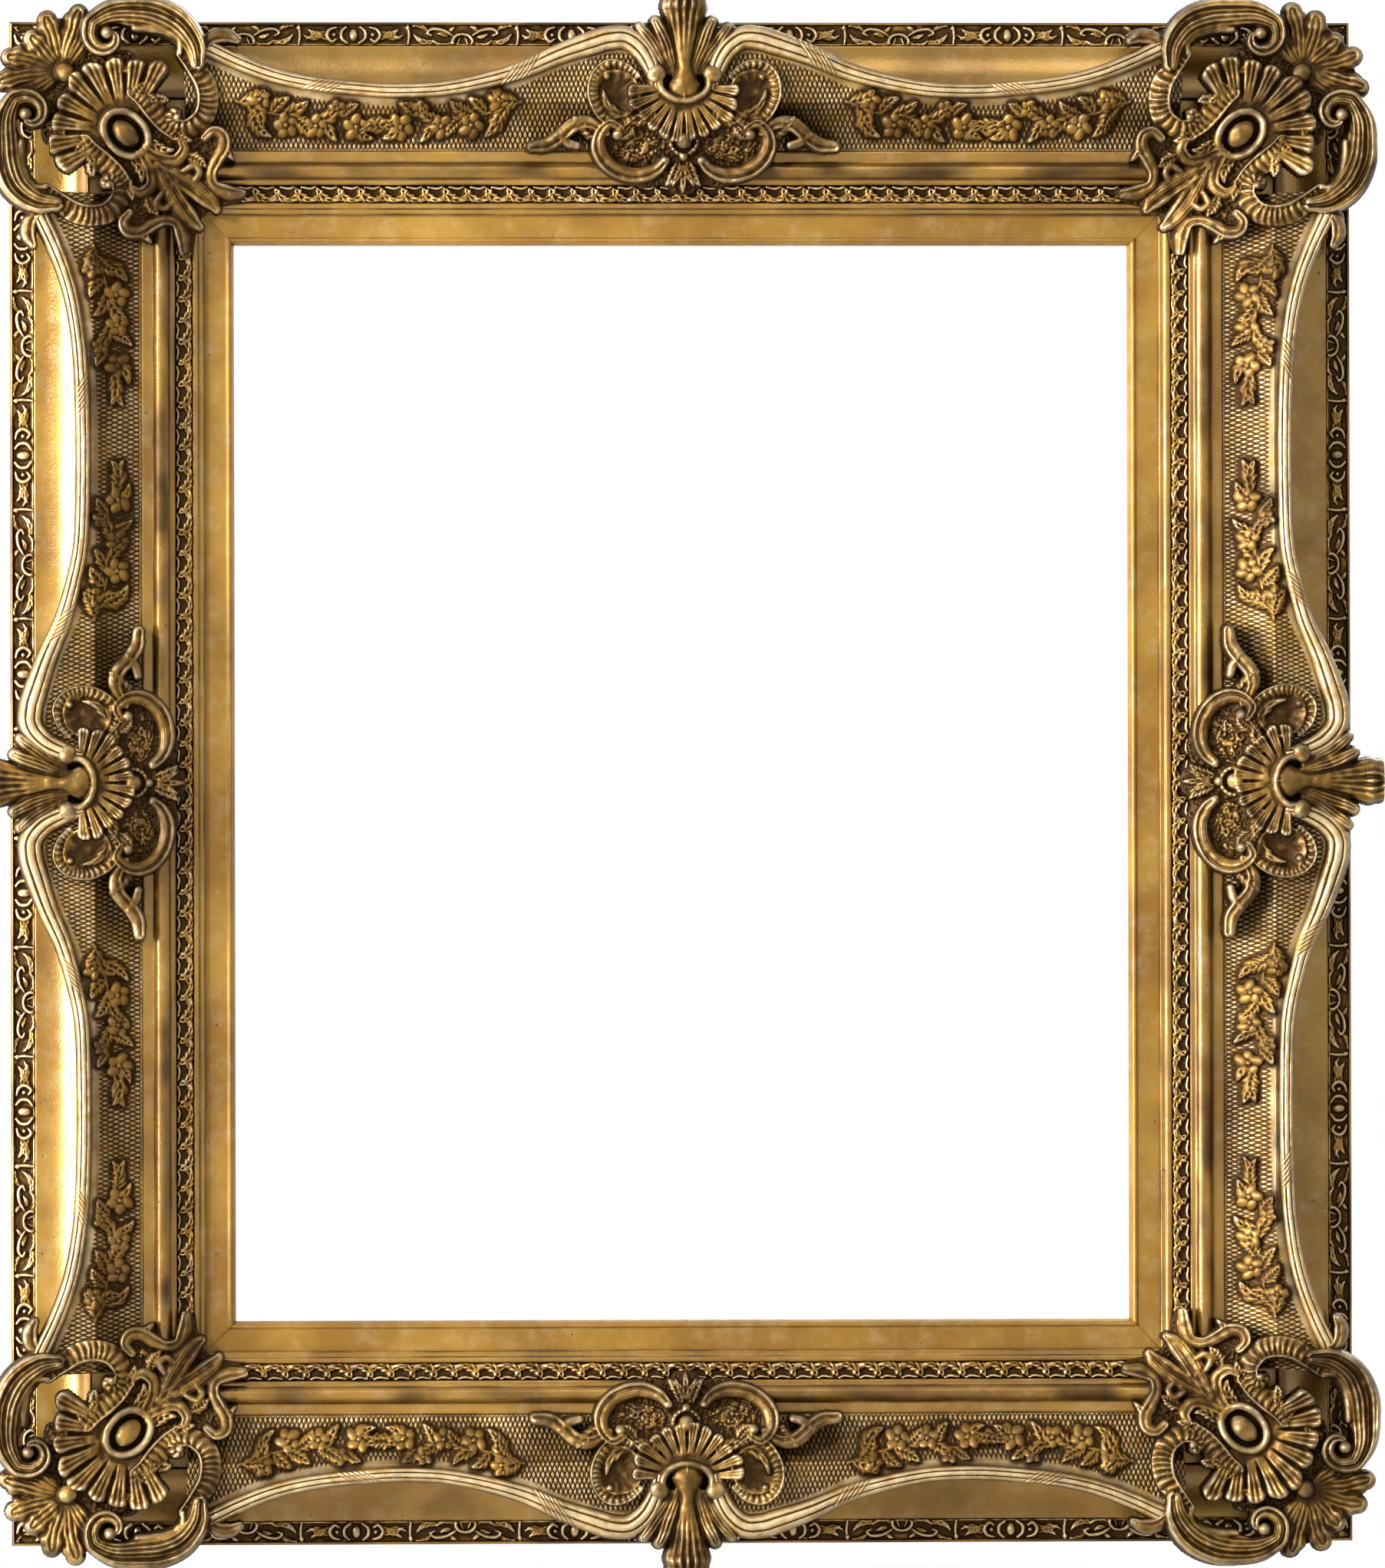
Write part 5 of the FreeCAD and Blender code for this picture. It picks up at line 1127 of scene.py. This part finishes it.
def strip(side, name, sheet, period, start, bed, low_rise, high_rise):
    """Lays a repeat along one side, from a distance in, on a bed that rises across it."""
    run = half_run(side)
    wide = sheet.y[-1, 0]
    raised = np.maximum(blurred_run(sheet.height, 0.5), 0)
    soft = blurred_run(raised, 3.5)
    depth = np.linspace(0, wide, int(wide / SPACING[0]))[None, :]
    inset = start + depth
    t = np.linspace(-1, 1, int(2 * run / SPACING[1]))[:, None]
    along = t * (run - inset - 0.1)
    repeat = (along + period / 4) % period
    depth = np.broadcast_to(depth, repeat.shape)
    relief = pick(sheet, raised, repeat, depth)
    around = pick(sheet, soft, repeat, depth)
    ground = bed + low_rise + (high_rise - low_rise) * depth / wide - 1.6
    height = ground + relief * 1.12 + 0.2 * ripple(relief.shape, 1.0, 3.0)
    edge = np.minimum(depth, wide - depth)
    # Painted shade in the strip's recesses, on an even toning, with dirt at the joints along its
    # edges; painted highlight on what stands above its surroundings, partly as rubbed wear.
    hollow = unit((around - relief) / 0.9 + 0.25 + 0.5 * np.exp(-edge / 0.5))
    proud = unit((relief - around) / 1.0)
    height[:, 0] = height[:, -1] = bed
    points = to_world(along, np.broadcast_to(inset, along.shape), height, side).reshape(-1, 3)
    return cast(name + "_" + side, points, grid_faces(*height.shape)[:, ::-1], hollow, proud,
                GILT["strip"])


OUTER, INNER = outer_repeat(), inner_repeat()
for side in SIDES:
    outer = strip(side, "outer_strip", OUTER, OUTER_REPEAT, OUTER_IN, OUTER_BED, 1.8, 4.4)
    inner = strip(side, "inner_strip", INNER, INNER_REPEAT, INNER_IN, INNER_FLOOR, 4.0, 1.6)
    print(side, "outer strip", len(outer.data.polygons), "faces, inner strip",
          len(inner.data.polygons))


# %% [markdown]
# ## Corner and centre ornaments
#
# These are the great casts of the frame: scrolls with spiral ends, combs of flutes, shells, leaves
# and an oval boss on a pitted ground, with holes pierced through to the cove. Each is one height
# sheet set out in shares of 100 mm, and the corner is drawn on one side of its diagonal and
# mirrored.

# %% Casting a sheet
THINNEST = 0.35  # where a cast stands less than this over its seat, there is a hole
SUNK = 0.3  # how far its underside goes into what carries it
OVER_COVE = 48.0  # level of the seat where nothing carries it
PITS = 2.0  # depth of the pits of the ground
# how dark the underside of a cast is made: painted shade
UNDERSIDE_SHADE = 0.8


def sheet_faces(solid, open_below):
    """Faces over the solid cells, walls at the cut edges, and an underside where it is open below.

    The points of the underside follow those of the face in one list."""
    cells = solid[:-1, :-1] & solid[1:, :-1] & solid[1:, 1:] & solid[:-1, 1:]
    index = np.arange(solid.size).reshape(solid.shape)
    corners = np.stack([index[:-1, :-1], index[1:, :-1], index[1:, 1:], index[:-1, 1:]], -1)
    faces = [corners[cells][:, ::-1]]
    padded = np.pad(cells, 1)
    for rows, columns, first, second in ((0, 1, 0, 3), (2, 1, 2, 1), (1, 0, 1, 0), (1, 2, 3, 2)):
        beside = padded[rows:rows + cells.shape[0], columns:columns + cells.shape[1]]
        edge = cells & ~beside
        a, b = corners[edge][:, first], corners[edge][:, second]
        faces.append(np.stack([a, b, b + solid.size, a + solid.size], -1))
    faces.append(corners[cells & open_below[:-1, :-1]] + solid.size)
    return np.vstack(faces)


def cast_sheet(sheet, name, side, shift):
    """Casts a height sheet on one side, with a slightly uneven surface."""
    solid = sheet.height > sheet.seat + THINNEST
    shape = sheet.height.shape
    uneven = 0.28 * ripple(shape, sheet.step, 1.6) + 0.35 * ripple(shape, sheet.step, 6.0)
    height = np.where(solid, blurred(sheet.height, 0.5) + uneven, sheet.height)
    weight = solid.astype(float)

    def surroundings(sigma):
        """Mean height about each place, holes left out."""
        return blurred(height * weight, sigma) / np.maximum(blurred(weight, sigma), 0.05)

    fine, broad = surroundings(2.4), surroundings(7.0)
    # Painted shade in the hollows of the relief, deepest under the broad forms, with toning there;
    # painted highlight on the raised places, partly as rubbed wear.
    hollow = (unit((fine - height) / 1.0) * 0.5
              + unit((broad - height) / 2.8) * 0.95 + 0.03)
    proud = (unit((height - fine) / 0.8) * 0.7
             + unit((height - broad) / 4.0) * 0.35)
    faces = sheet_faces(solid, np.abs(sheet.seat - OVER_COVE) < 0.5)
    used, compact = np.unique(faces, return_inverse=True)
    x = np.tile(sheet.x.ravel(), 2)[used] - shift
    y = np.tile(sheet.y.ravel(), 2)[used]
    z = np.concatenate([height.ravel(), (sheet.seat - SUNK).ravel()])[used]
    # The underside gets painted shade.
    hollow = np.concatenate([hollow.ravel(), np.full(height.size, UNDERSIDE_SHADE)])[used]
    proud = np.concatenate([proud.ravel(), np.zeros(height.size)])[used]
    return cast(name, to_world(x, y, z, side), compact.reshape(-1, 4), hollow, proud,
                GILT["ornament"])


SEAT_IN = [44, 46.8, 52, 60, 74, 89.8, 90.2, 93.2, 103, 104, 110, 127]
SEAT_LEVEL = [OVER_COVE, 59, 50, 44, 39.5, 39.5, 38, 31, 31, 31, 27, 27]
ROOF_IN = [44, 60, 89.8, 103, 127]
ROOF_LEVEL = [63.5, 59, 46.5, 40, 31]


def seat(inset):
    """Level at which a cast sits on the moulding at a distance in."""
    return np.interp(inset, SEAT_IN, SEAT_LEVEL)


def roof(inset):
    """Level of a cast's ground, which follows the moulding."""
    return np.interp(inset, ROOF_IN, ROOF_LEVEL)


def curl(last, centre, sweep, end_radius, end_half, steps=12):
    """Rows that carry a scroll on into a spiral about a centre."""
    dx, dy = last[0] - centre[0], last[1] - centre[1]
    radius, start = math.hypot(dx, dy), math.atan2(dy, dx)
    rows = []
    for step in range(1, steps + 1):
        share = step / steps
        reach = radius + (end_radius - radius) * share
        angle = start + math.radians(sweep) * share
        rows.append((centre[0] + reach * math.cos(angle), centre[1] + reach * math.sin(angle),
                     last[2] + (end_half - last[2]) * share))
    return rows


print("a cast stands", round(float(roof(60) - seat(60)), 1), "mm over its seat at 60 mm in")


# %% [markdown]
# ## The corner ornament
#
# A shell with an oval boss leans out over the mitre, and a fan of veined husks fills the outer
# corner. A big scroll with a spiral end runs round each side of them, a fluted comb closes the hole
# between the scroll and the shell, and smaller scrolls and leaves run down onto the torus. Both
# axes of the plan run inwards from the frame's outer corner, and one half is mirrored over the
# diagonal.

# %% Curves of the corner, in shares of 100 mm
CORNER_OUTLINE = [(.10, .10), (.2, .02), (.33, 0), (.42, .04), (.45, .10), (.57, .17), (.70, .20),
                  (.72, .37), (.78, .43), (.88, .51), (.935, .585), (.95, .62), (1.02, .655),
                  (1.09, .63), (1.13, .62), (1.20, .64), (1.245, .71), (1.22, .80), (1.17, .87),
                  (1.15, .93), (1.20, .965), (1.31, .95), (1.34, .985), (1.29, 1.03), (1.18, 1.06),
                  (1.11, 1.09)]
BIG_SCROLL = [(1.05, .26, .050), (1.03, .15, .080), (.95, .045, .098), (.83, -.012, .104),
              (.70, -.028, .096), (.575, -.024, .082), (.475, .02, .062)]
BIG_SCROLL += curl(BIG_SCROLL[-1], (.55, .105), -235, .038, .026)
FOLD = [(.96, .20, .020), (.955, .12, .034), (.88, .07, .040), (.78, .055, .036), (.70, .06, .024)]
CORNER_COMB = [(x, y, 1.4 * w) for x, y, w in COMB]
CORNER_COMB += curl(CORNER_COMB[-1], (.945, .56), 200, .03, .018)
TONGUE = [(.70, .42, .045), (.76, .46, .062), (.82, .53, .066), (.87, .60, .050), (.93, .66, .030)]
S_SCROLL = [(1.10, .675, .026), (1.15, .640, .034), (1.20, .665, .040), (1.205, .73, .042),
            (1.165, .80, .040), (1.135, .87, .036), (1.15, .94, .038), (1.22, .975, .046),
            (1.31, .985, .030)]
FROND = [(.83, .83, .030), (.93, .885, .056), (1.04, .95, .066), (1.13, 1.02, .056),
         (1.17, 1.07, .030)]
FLAME = [(1.06, .19, .026), (1.14, .115, .040), (1.22, .10, .044), (1.28, .125, .026)]
C_SCROLL = [(.965, .685, .024), (.985, .74, .036), (.94, .80, .042), (.86, .80, .044),
            (.78, .765, .044), (.70, .71, .04)]
HOOK = [(.98, .86, .020), (1.04, .83, .026), (1.07, .87, .026), (1.04, .92, .024)]
LEAVES = [(.42, .14, .47, .03, .07, .1), (.90, .62, 1.03, .69, .09, .12),
          (1.0, .78, 1.11, .84, .09, -.1), (.60, .20, .66, .31, .09, .1),
          (.74, .40, .84, .47, .10, .15), (.99, .17, 1.12, .30, .09, .1),
          (.66, .44, .76, .36, .09, .1), (.80, .47, .90, .47, .08, -.1),
          (1.02, .30, 1.09, .44, .06, -.1)]
EARS = [(.80, .68, .93, .74, .08, .2), (.84, .84, 1.02, .90, .12, .12),
        (1.19, .66, 1.27, .80, .07, .1)]
BERRIES = [(1.02, .80, 1.8), (1.06, .93, 1.6), (.86, .56, 1.6), (.80, .50, 1.6), (.47, .17, 2.2)]
print("the big scroll has", len(BIG_SCROLL), "marks with its spiral end")


# %% [markdown]
# ## Carving the corner
#
# What both halves share is carved in a loop, first as drawn and then with its axes swapped. The
# shell, the fan and the socket lie on the diagonal and are carved once. Each husk of the fan gets
# its own bend, reach and height by chance, since the carver of the model finished them one by one.

# %% Corner ornament
CORNER_SPAN = (-13, 133)
SHELL_MIDDLE, SOCKET_MIDDLE, BOSS_MIDDLE, FAN_ROOT = 64.6, 65, 65.2, 30
DIAGONAL = math.pi / 4
OUTWARDS = 225  # heading of the shell and the fan, in degrees
FAN = [(78, 27), (-76, 28), (55, 35), (-52, 34), (0, 24), (28, 31), (-25, 29)]  # turn, reach
HUSK_WIDTHS = [(0.1, 2.6), (0.4, 5.4), (0.62, 6.6), (0.72, 6.0), (0.88, 7.6), (1.0, 5.6)]


def corner_half(sheet, at, hand):
    """The scrolls, leaves and bosses of one half of the corner."""
    for rows, rise, lobes in ((LEAVES, 4.2, 3), (EARS, 4.6, 2)):
        for x, y, tip_x, tip_y, wide, bend in rows:
            leaf(sheet, at(x, y), at(tip_x, tip_y), SHARE * wide, rise, bend * hand, lobes)
    for rows, rise, section, base in ((S_SCROLL, 5.4, hooded(hand), 0.4),
                                      (C_SCROLL, 5.0, hooded(-hand), 0.3),
                                      (HOOK, 4.4, rounded, 0.2),
                                      (TONGUE, 5.4, fluted(3.6, 0.3, hand), 0.0),
                                      (CORNER_COMB, 6.4, fluted(3.8, 0.35, hand), 0.0),
                                      (FOLD, 6.6, rounded, 0.0),
                                      (FROND, 5.4, hooded(-hand), 0.4),
                                      (FLAME, 4.6, hooded(-hand), 0.0),
                                      (BIG_SCROLL, 10.4, hooded(-hand), 0.6)):
        stroke(sheet, [(*at(x, y), SHARE * w) for x, y, w in rows], rise, section, base=base)
    boss(sheet, at(.545, .085), 4.2, 4.2, 0, rise=12.0)
    boss(sheet, at(.945, .56), 2.6, 2.6, 0, rise=7.0)
    for x, y, radius in BERRIES:
        boss(sheet, at(x, y), radius, radius, 0, rise=2.6)


def corner_fan(sheet):
    """The husks in the outer corner, each a little different."""
    for turn, reach in FAN:
        angle, bend = math.radians(OUTWARDS + turn), random.uniform(-3.5, 3.5)
        reach += random.uniform(-1.5, 1.5)
        rows = [(FAN_ROOT + reach * s * math.cos(angle) - bend * s * s * math.sin(angle),
                 FAN_ROOT + reach * s * math.sin(angle) + bend * s * s * math.cos(angle), w)
                for s, w in HUSK_WIDTHS]
        stroke(sheet, rows, 4.4 + random.uniform(-0.8, 1.2), husk, 0.6)


def corner_sheet():
    """The corner cast's heights."""
    def depth(x, y):
        """Distance in, a little less along the diagonal, where the cast stands higher."""
        return np.minimum(x, y) - 1.5 * np.exp(-np.abs(x - y) / 3.0)

    sheet = Relief(CORNER_SPAN, CORNER_SPAN, CARVING_STEP, lambda x, y: roof(depth(x, y)),
                   lambda x, y: seat(np.minimum(x, y)))
    half = [(SHARE * x, SHARE * y) for x, y in CORNER_OUTLINE]
    slab(sheet, half + [(y, x) for x, y in reversed(half)], PITS)
    corner_half(sheet, lambda x, y: (SHARE * x, SHARE * y), 1)
    corner_half(sheet, lambda x, y: (SHARE * y, SHARE * x), -1)
    shell(sheet, (SHELL_MIDDLE, SHELL_MIDDLE), math.radians(OUTWARDS), spread=math.radians(82),
          near=14.5, far=43, lobes=9, rise=6.0)
    corner_fan(sheet)
    boss(sheet, (31, 31), 6.4, 5.6, 0.8, rise=7.5)
    boss(sheet, (83, 83), 3.5, 3.5, 0, rise=5.0)
    boss(sheet, (89, 89), 3.0, 3.0, 0, rise=4.6)
    ring(sheet, (BOSS_MIDDLE, BOSS_MIDDLE), 14.4, 11.0, DIAGONAL, half=2.6, rise=5.0)
    socket(sheet, (SOCKET_MIDDLE, SOCKET_MIDDLE), 12.2, 8.8, DIAGONAL, depth=4.0)
    boss(sheet, (BOSS_MIDDLE, BOSS_MIDDLE), 10.0, 6.8, DIAGONAL, rise=9.6, base=-3.0)
    return sheet


corner = corner_sheet()
CORNERS = {"top_left": "top", "top_right": "right", "bottom_right": "bottom", "bottom_left": "left"}
for place, side in CORNERS.items():
    piece = cast_sheet(corner, "corner_ornament_" + place, side, half_run(side))
print("corner cast:", len(piece.data.polygons), "faces")


# %% [markdown]
# ## The centre ornament
#
# Each side carries a symmetrical cast in its middle: a crest that turns over the outer edge, a
# shell behind a sunk hollow, two dished ears, scrolls that meet in a drop of leaves, and a frond
# towards each side. The first axis of the plan runs along the rail from its middle, and the second
# runs inwards.

# %% Curves of the centre, in shares of 100 mm
CENTRE_OUTLINE = [(0, .33), (.09, .36), (.12, .42), (.22, .43), (.30, .36), (.42, .27), (.50, .30),
                  (.535, .40), (.51, .50), (.455, .585), (.46, .62), (.51, .70), (.475, .82),
                  (.37, .90), (.22, .945), (.10, .93), (.06, .975), (0, .985)]
EAR = [(.27, .33, .022), (.34, .275, .028), (.43, .265, .034), (.50, .33, .036), (.515, .44, .036),
       (.46, .55, .034), (.37, .595, .030), (.30, .56, .024)]
LOWER_SCROLL = [(.36, .625, .026), (.42, .60, .034), (.475, .66, .042), (.48, .74, .048),
                (.43, .82, .050), (.34, .87, .050), (.24, .88, .048), (.155, .85, .040),
                (.105, .80, .030)]
SIDE_FROND = [(.44, .64, .030), (.53, .59, .040), (.62, .60, .046), (.70, .665, .044),
              (.77, .71, .044), (.855, .722, .036)]
SIDE_HOOK = [(.72, .66, .022), (.66, .70, .030), (.605, .715, .026)]
CENTRE_LEAVES = [(.46, .66, .626, .555, .10, .1), (.03, .80, .10, .94, .08, .1),
                 (.16, .52, .33, .58, .10, .1), (.29, .60, .37, .68, .08, .1)]
CREST = [(0, 38, 9.5), (0, 33, 7.0), (0, 28, 5.0), (0, 22, 5.4), (0, 10, 8.6), (0, 0, 11.0),
         (0, -7, 12.8), (0, -12, 11.6)]
INNER_HUSK = [(5, 33, 2.4), (8, 22, 4.0), (12, 11, 4.8), (16, 2, 3.8)]
OUTER_HUSK = [(9, 30, 2.4), (14, 20, 4.0), (20, 11, 4.4), (25, 5, 3.2)]
print("the crest rises", -CREST[-1][1], "mm past the frame's edge")


# %% [markdown]
# ## Carving the centre
#
# The order matters where one form cuts another: the dishes are cut first, then the scrolls lie over
# them, then the shell is sunk behind its lip, and the crest and the husks cross the hollow last.

# %% Centre ornament
CENTRE_SPAN, CENTRE_DEPTH = (-90, 90), (-15, 101)
DROP = 69  # distance in of the beaded boss


def centre_half(sheet, hand):
    """The ear, scrolls, frond and leaves on one hand."""
    for x, y, tip_x, tip_y, wide, bend in CENTRE_LEAVES:
        leaf(sheet, (SHARE * x * hand, SHARE * y), (SHARE * tip_x * hand, SHARE * tip_y),
             SHARE * wide, 4.4, bend * hand, 3)
    for rows, rise, section in ((EAR, 5.6, fluted(3.0, 0.35, -hand)),
                                (LOWER_SCROLL, 6.8, hooded(hand)), (SIDE_HOOK, 4.4, rounded),
                                (SIDE_FROND, 5.6, hooded(-hand))):
        stroke(sheet, [(SHARE * x * hand, SHARE * y, SHARE * w) for x, y, w in rows], rise, section)
    boss(sheet, (37.5 * hand, 65.5), 3.6, 3.4, 0, rise=6.5)
    leaf(sheet, (29 * hand, 55), (46 * hand, 40), 7, 3.0, 0.25 * hand, 2)
    boss(sheet, (10.5 * hand, 80), 2.8, 2.8, 0, rise=6.0)
    boss(sheet, (44 * hand, 33), 2.2, 2.2, 0, rise=4.5)


def centre_sheet():
    """The centre cast's heights."""
    sheet = Relief(CENTRE_SPAN, CENTRE_DEPTH, CARVING_STEP, lambda x, y: roof(y),
                   lambda x, y: seat(y))
    half = [(SHARE * x, SHARE * y) for x, y in CENTRE_OUTLINE]
    slab(sheet, half + [(-x, y) for x, y in reversed(half[1:-1])], PITS)
    for hand in (-1, 1):
        dish(sheet, (39 * hand, 43), 15.5, 15.0, 0.5 * hand, rise=4.8, floor=-1.8)
    for hand in (-1, 1):
        centre_half(sheet, hand)
    shell(sheet, (0, 38), math.radians(90), spread=math.radians(92), near=12, far=32, lobes=12,
          rise=5.0)
    socket(sheet, (0, 37), 13.0, 8.6, 0, depth=8.0)
    lip = [(14.2 * math.cos(angle), 36 + 10.5 * math.sin(angle), 2.4)
           for angle in np.linspace(-0.1, math.pi + 0.1, 14)]
    stroke(sheet, lip, 4.8, rounded)
    stroke(sheet, CREST, 8.0, crested, 1.6)
    for hand in (-1, 1):
        for rows, rise in ((INNER_HUSK, 5.6), (OUTER_HUSK, 4.8)):
            stroke(sheet, [(x * hand, y, w) for x, y, w in rows], rise, husk, 0.8)
        boss(sheet, (16.0 * hand, 31.5), 6.0, 5.4, 0.6 * hand, rise=7.0)
    boss(sheet, (0, DROP), 5.0, 5.0, 0, rise=7.0)
    ring(sheet, (0, DROP), 7.6, 7.6, 0, half=1.5, rise=3.6, beads=18)
    boss(sheet, (0, 78), 2.8, 2.8, 0, rise=5.0)
    for tip, wide in ((-6, 5), (6, 5), (0, 6)):
        leaf(sheet, (0, 82), (tip, 98.0 - abs(tip) * 0.6), wide, 5.2, 0, 2)
    return sheet


centre = centre_sheet()
for side in SIDES:
    piece = cast_sheet(centre, "centre_ornament_" + side, side, 0.0)
print("centre cast:", len(piece.data.polygons), "faces")


# %% [markdown]
# ## The camera
#
# The photograph looks almost straight at the frame through a long lens, from slightly to the left.
# A camera nine metres away gives the same flat view, and its lens follows from how many pixels of
# the photograph a millimetre of the frame takes.

# %% Camera
DISTANCE = 9.0
YAW, PITCH, ROLL = 3.0, 0.5, -0.125  # degrees
LOOKED_AT = (0.00704, 0, -0.39866)
PHOTO_HEIGHT, PHOTO_SCALE = 2044, 2.2889  # pixels, and pixels to a millimetre
SENSOR = 36


def aimed(yaw, pitch, roll, target, distance):
    """Camera pose that looks at a target."""
    ahead = Vector((math.sin(yaw) * math.cos(pitch), math.cos(yaw) * math.cos(pitch),
                    math.sin(pitch)))
    right = Vector((math.cos(yaw), -math.sin(yaw), 0))
    up = right.cross(ahead)
    right, up = (right * math.cos(roll) + up * math.sin(roll),
                 up * math.cos(roll) - right * math.sin(roll))
    pose = Matrix((right, up, -ahead)).transposed().to_4x4()
    pose.translation = Vector(target) - ahead * distance
    return pose


camera = bpy.data.objects.new("camera", bpy.data.cameras.new("camera"))
bpy.context.scene.collection.objects.link(camera)
camera.matrix_world = aimed(math.radians(YAW), math.radians(PITCH), math.radians(ROLL), LOOKED_AT,
                            DISTANCE)
camera.data.sensor_width = SENSOR
camera.data.lens = SENSOR * DISTANCE * MM / (PHOTO_HEIGHT / PHOTO_SCALE)
camera.data.clip_end = 100
bpy.context.scene.camera = camera
print("lens", round(camera.data.lens, 1), "mm")


# %% [markdown]
# ## Lamps
#
# Gold shows what it mirrors, so the lamps matter more than its colour. A big window on the left
# lights the left cove almost white and leaves the right one dark, as in the photograph. A small key
# above it draws the highlights on the scrolls, a weak one hangs over the top, and a soft lamp
# lights the back.

# %% Lamps
WHITE, WARM = (1.0, 1.0, 1.0), (1.0, 0.98, 0.95)


def lamp(name, place, target, size, watts, colour):
    """Soft square lamp aimed at a target."""
    light = bpy.data.lights.new(name, "AREA")
    light.size = size
    light.energy = watts
    light.color = colour
    stand = bpy.data.objects.new(name, light)
    bpy.context.scene.collection.objects.link(stand)
    stand.location = place
    stand.rotation_euler = (Vector(target) - Vector(place)).to_track_quat("-Z", "Y").to_euler()


MIDDLE = (0, 0, CENTRE_Z / MM)
lamp("window_left", (-2.3, -0.70, -0.3), MIDDLE, 1.3, 138, WHITE)
lamp("key_left", (-1.9, -2.1, 0.65), MIDDLE, 0.5, 50, (1.0, 0.98, 0.96))
lamp("back_fill", (0.9, 2.6, 0.7), MIDDLE, 1.5, 60, WARM)
lamp("fill_top", (0.3, -1.4, 1.2), MIDDLE, 0.8, 5, WARM)
print("lamps:", [light.name for light in bpy.data.lights])


# %% [markdown]
# ## The world
#
# The world lights the frame only weakly, yet the photograph's background is white. The Light Path
# node tells which rays see the world directly, in a mirror or through glass, and only those get
# full white.

# %% World
AMBIENT = 0.06
world = bpy.data.worlds.new("studio")
bpy.context.scene.world = world
world.use_nodes = True
tree = world.node_tree
rays = tree.nodes.new("ShaderNodeLightPath")
seen = Wire(tree, rays.outputs["Is Camera Ray"])
for kind in ("Is Glossy Ray", "Is Transmission Ray"):
    seen = seen.math("MAXIMUM", seen, Wire(tree, rays.outputs[kind]))
backdrop = tree.nodes["Background"]
backdrop.inputs["Color"].default_value = (1, 1, 1, 1)
feed(tree, backdrop.inputs["Strength"], AMBIENT + seen * (1 - AMBIENT))
print("the world gives", AMBIENT, "of its white as light")


# %% [markdown]
# ## The floor
#
# A pale floor under the frame takes its shadow, and fades into pure white further out, where only
# the camera's rays see the fade. It is a stage and no part of the object.

# %% Floor
FLOOR_GAP, FLOOR_SIZE, FLOOR_CELLS = 0.03, 5, 20
FADE = 0.28, 0.62  # shares of the floor's half size at which the white begins and is full
lowest = min(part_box("corner_ornament_bottom_left")[0].z,
             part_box("corner_ornament_bottom_right")[0].z)
bpy.ops.mesh.primitive_grid_add(x_subdivisions=FLOOR_CELLS, y_subdivisions=FLOOR_CELLS,
                                size=FLOOR_SIZE, location=(0, 0.2, lowest - FLOOR_GAP))
floor = bpy.context.object
floor.name = "floor"
paper = Finish("pale paper floor")
apart = paper.node("ShaderNodeSeparateXYZ", {}, {"Vector": paper.place}, "X")
other = paper.node("ShaderNodeSeparateXYZ", {}, {"Vector": paper.place}, "Y")
away = (apart * apart + other * other) ** 0.5
glow = away.step(*FADE) * paper.node("ShaderNodeLightPath", {}, {}, "Is Camera Ray")
tint = paper.blend(paper.noise(40.0) * 0.04, (0.82, 0.82, 0.82), (0.7, 0.7, 0.7))
paper.wear(base_color=tint, roughness=0.8)
white = paper.node("ShaderNodeEmission", {}, {})
mixed = paper.tree.nodes.new("ShaderNodeMixShader")
for slot, socket_in in zip(mixed.inputs, (glow.socket, paper.shader.outputs[0], white.socket)):
    paper.tree.links.new(socket_in, slot)
paper.tree.links.new(mixed.outputs[0], paper.tree.nodes["Material Output"].inputs["Surface"])
floor.data.materials.append(paper.material)
print("the floor lies", round(lowest - FLOOR_GAP, 3), "m up")

bpy.context.scene.view_settings.view_transform = "Standard"
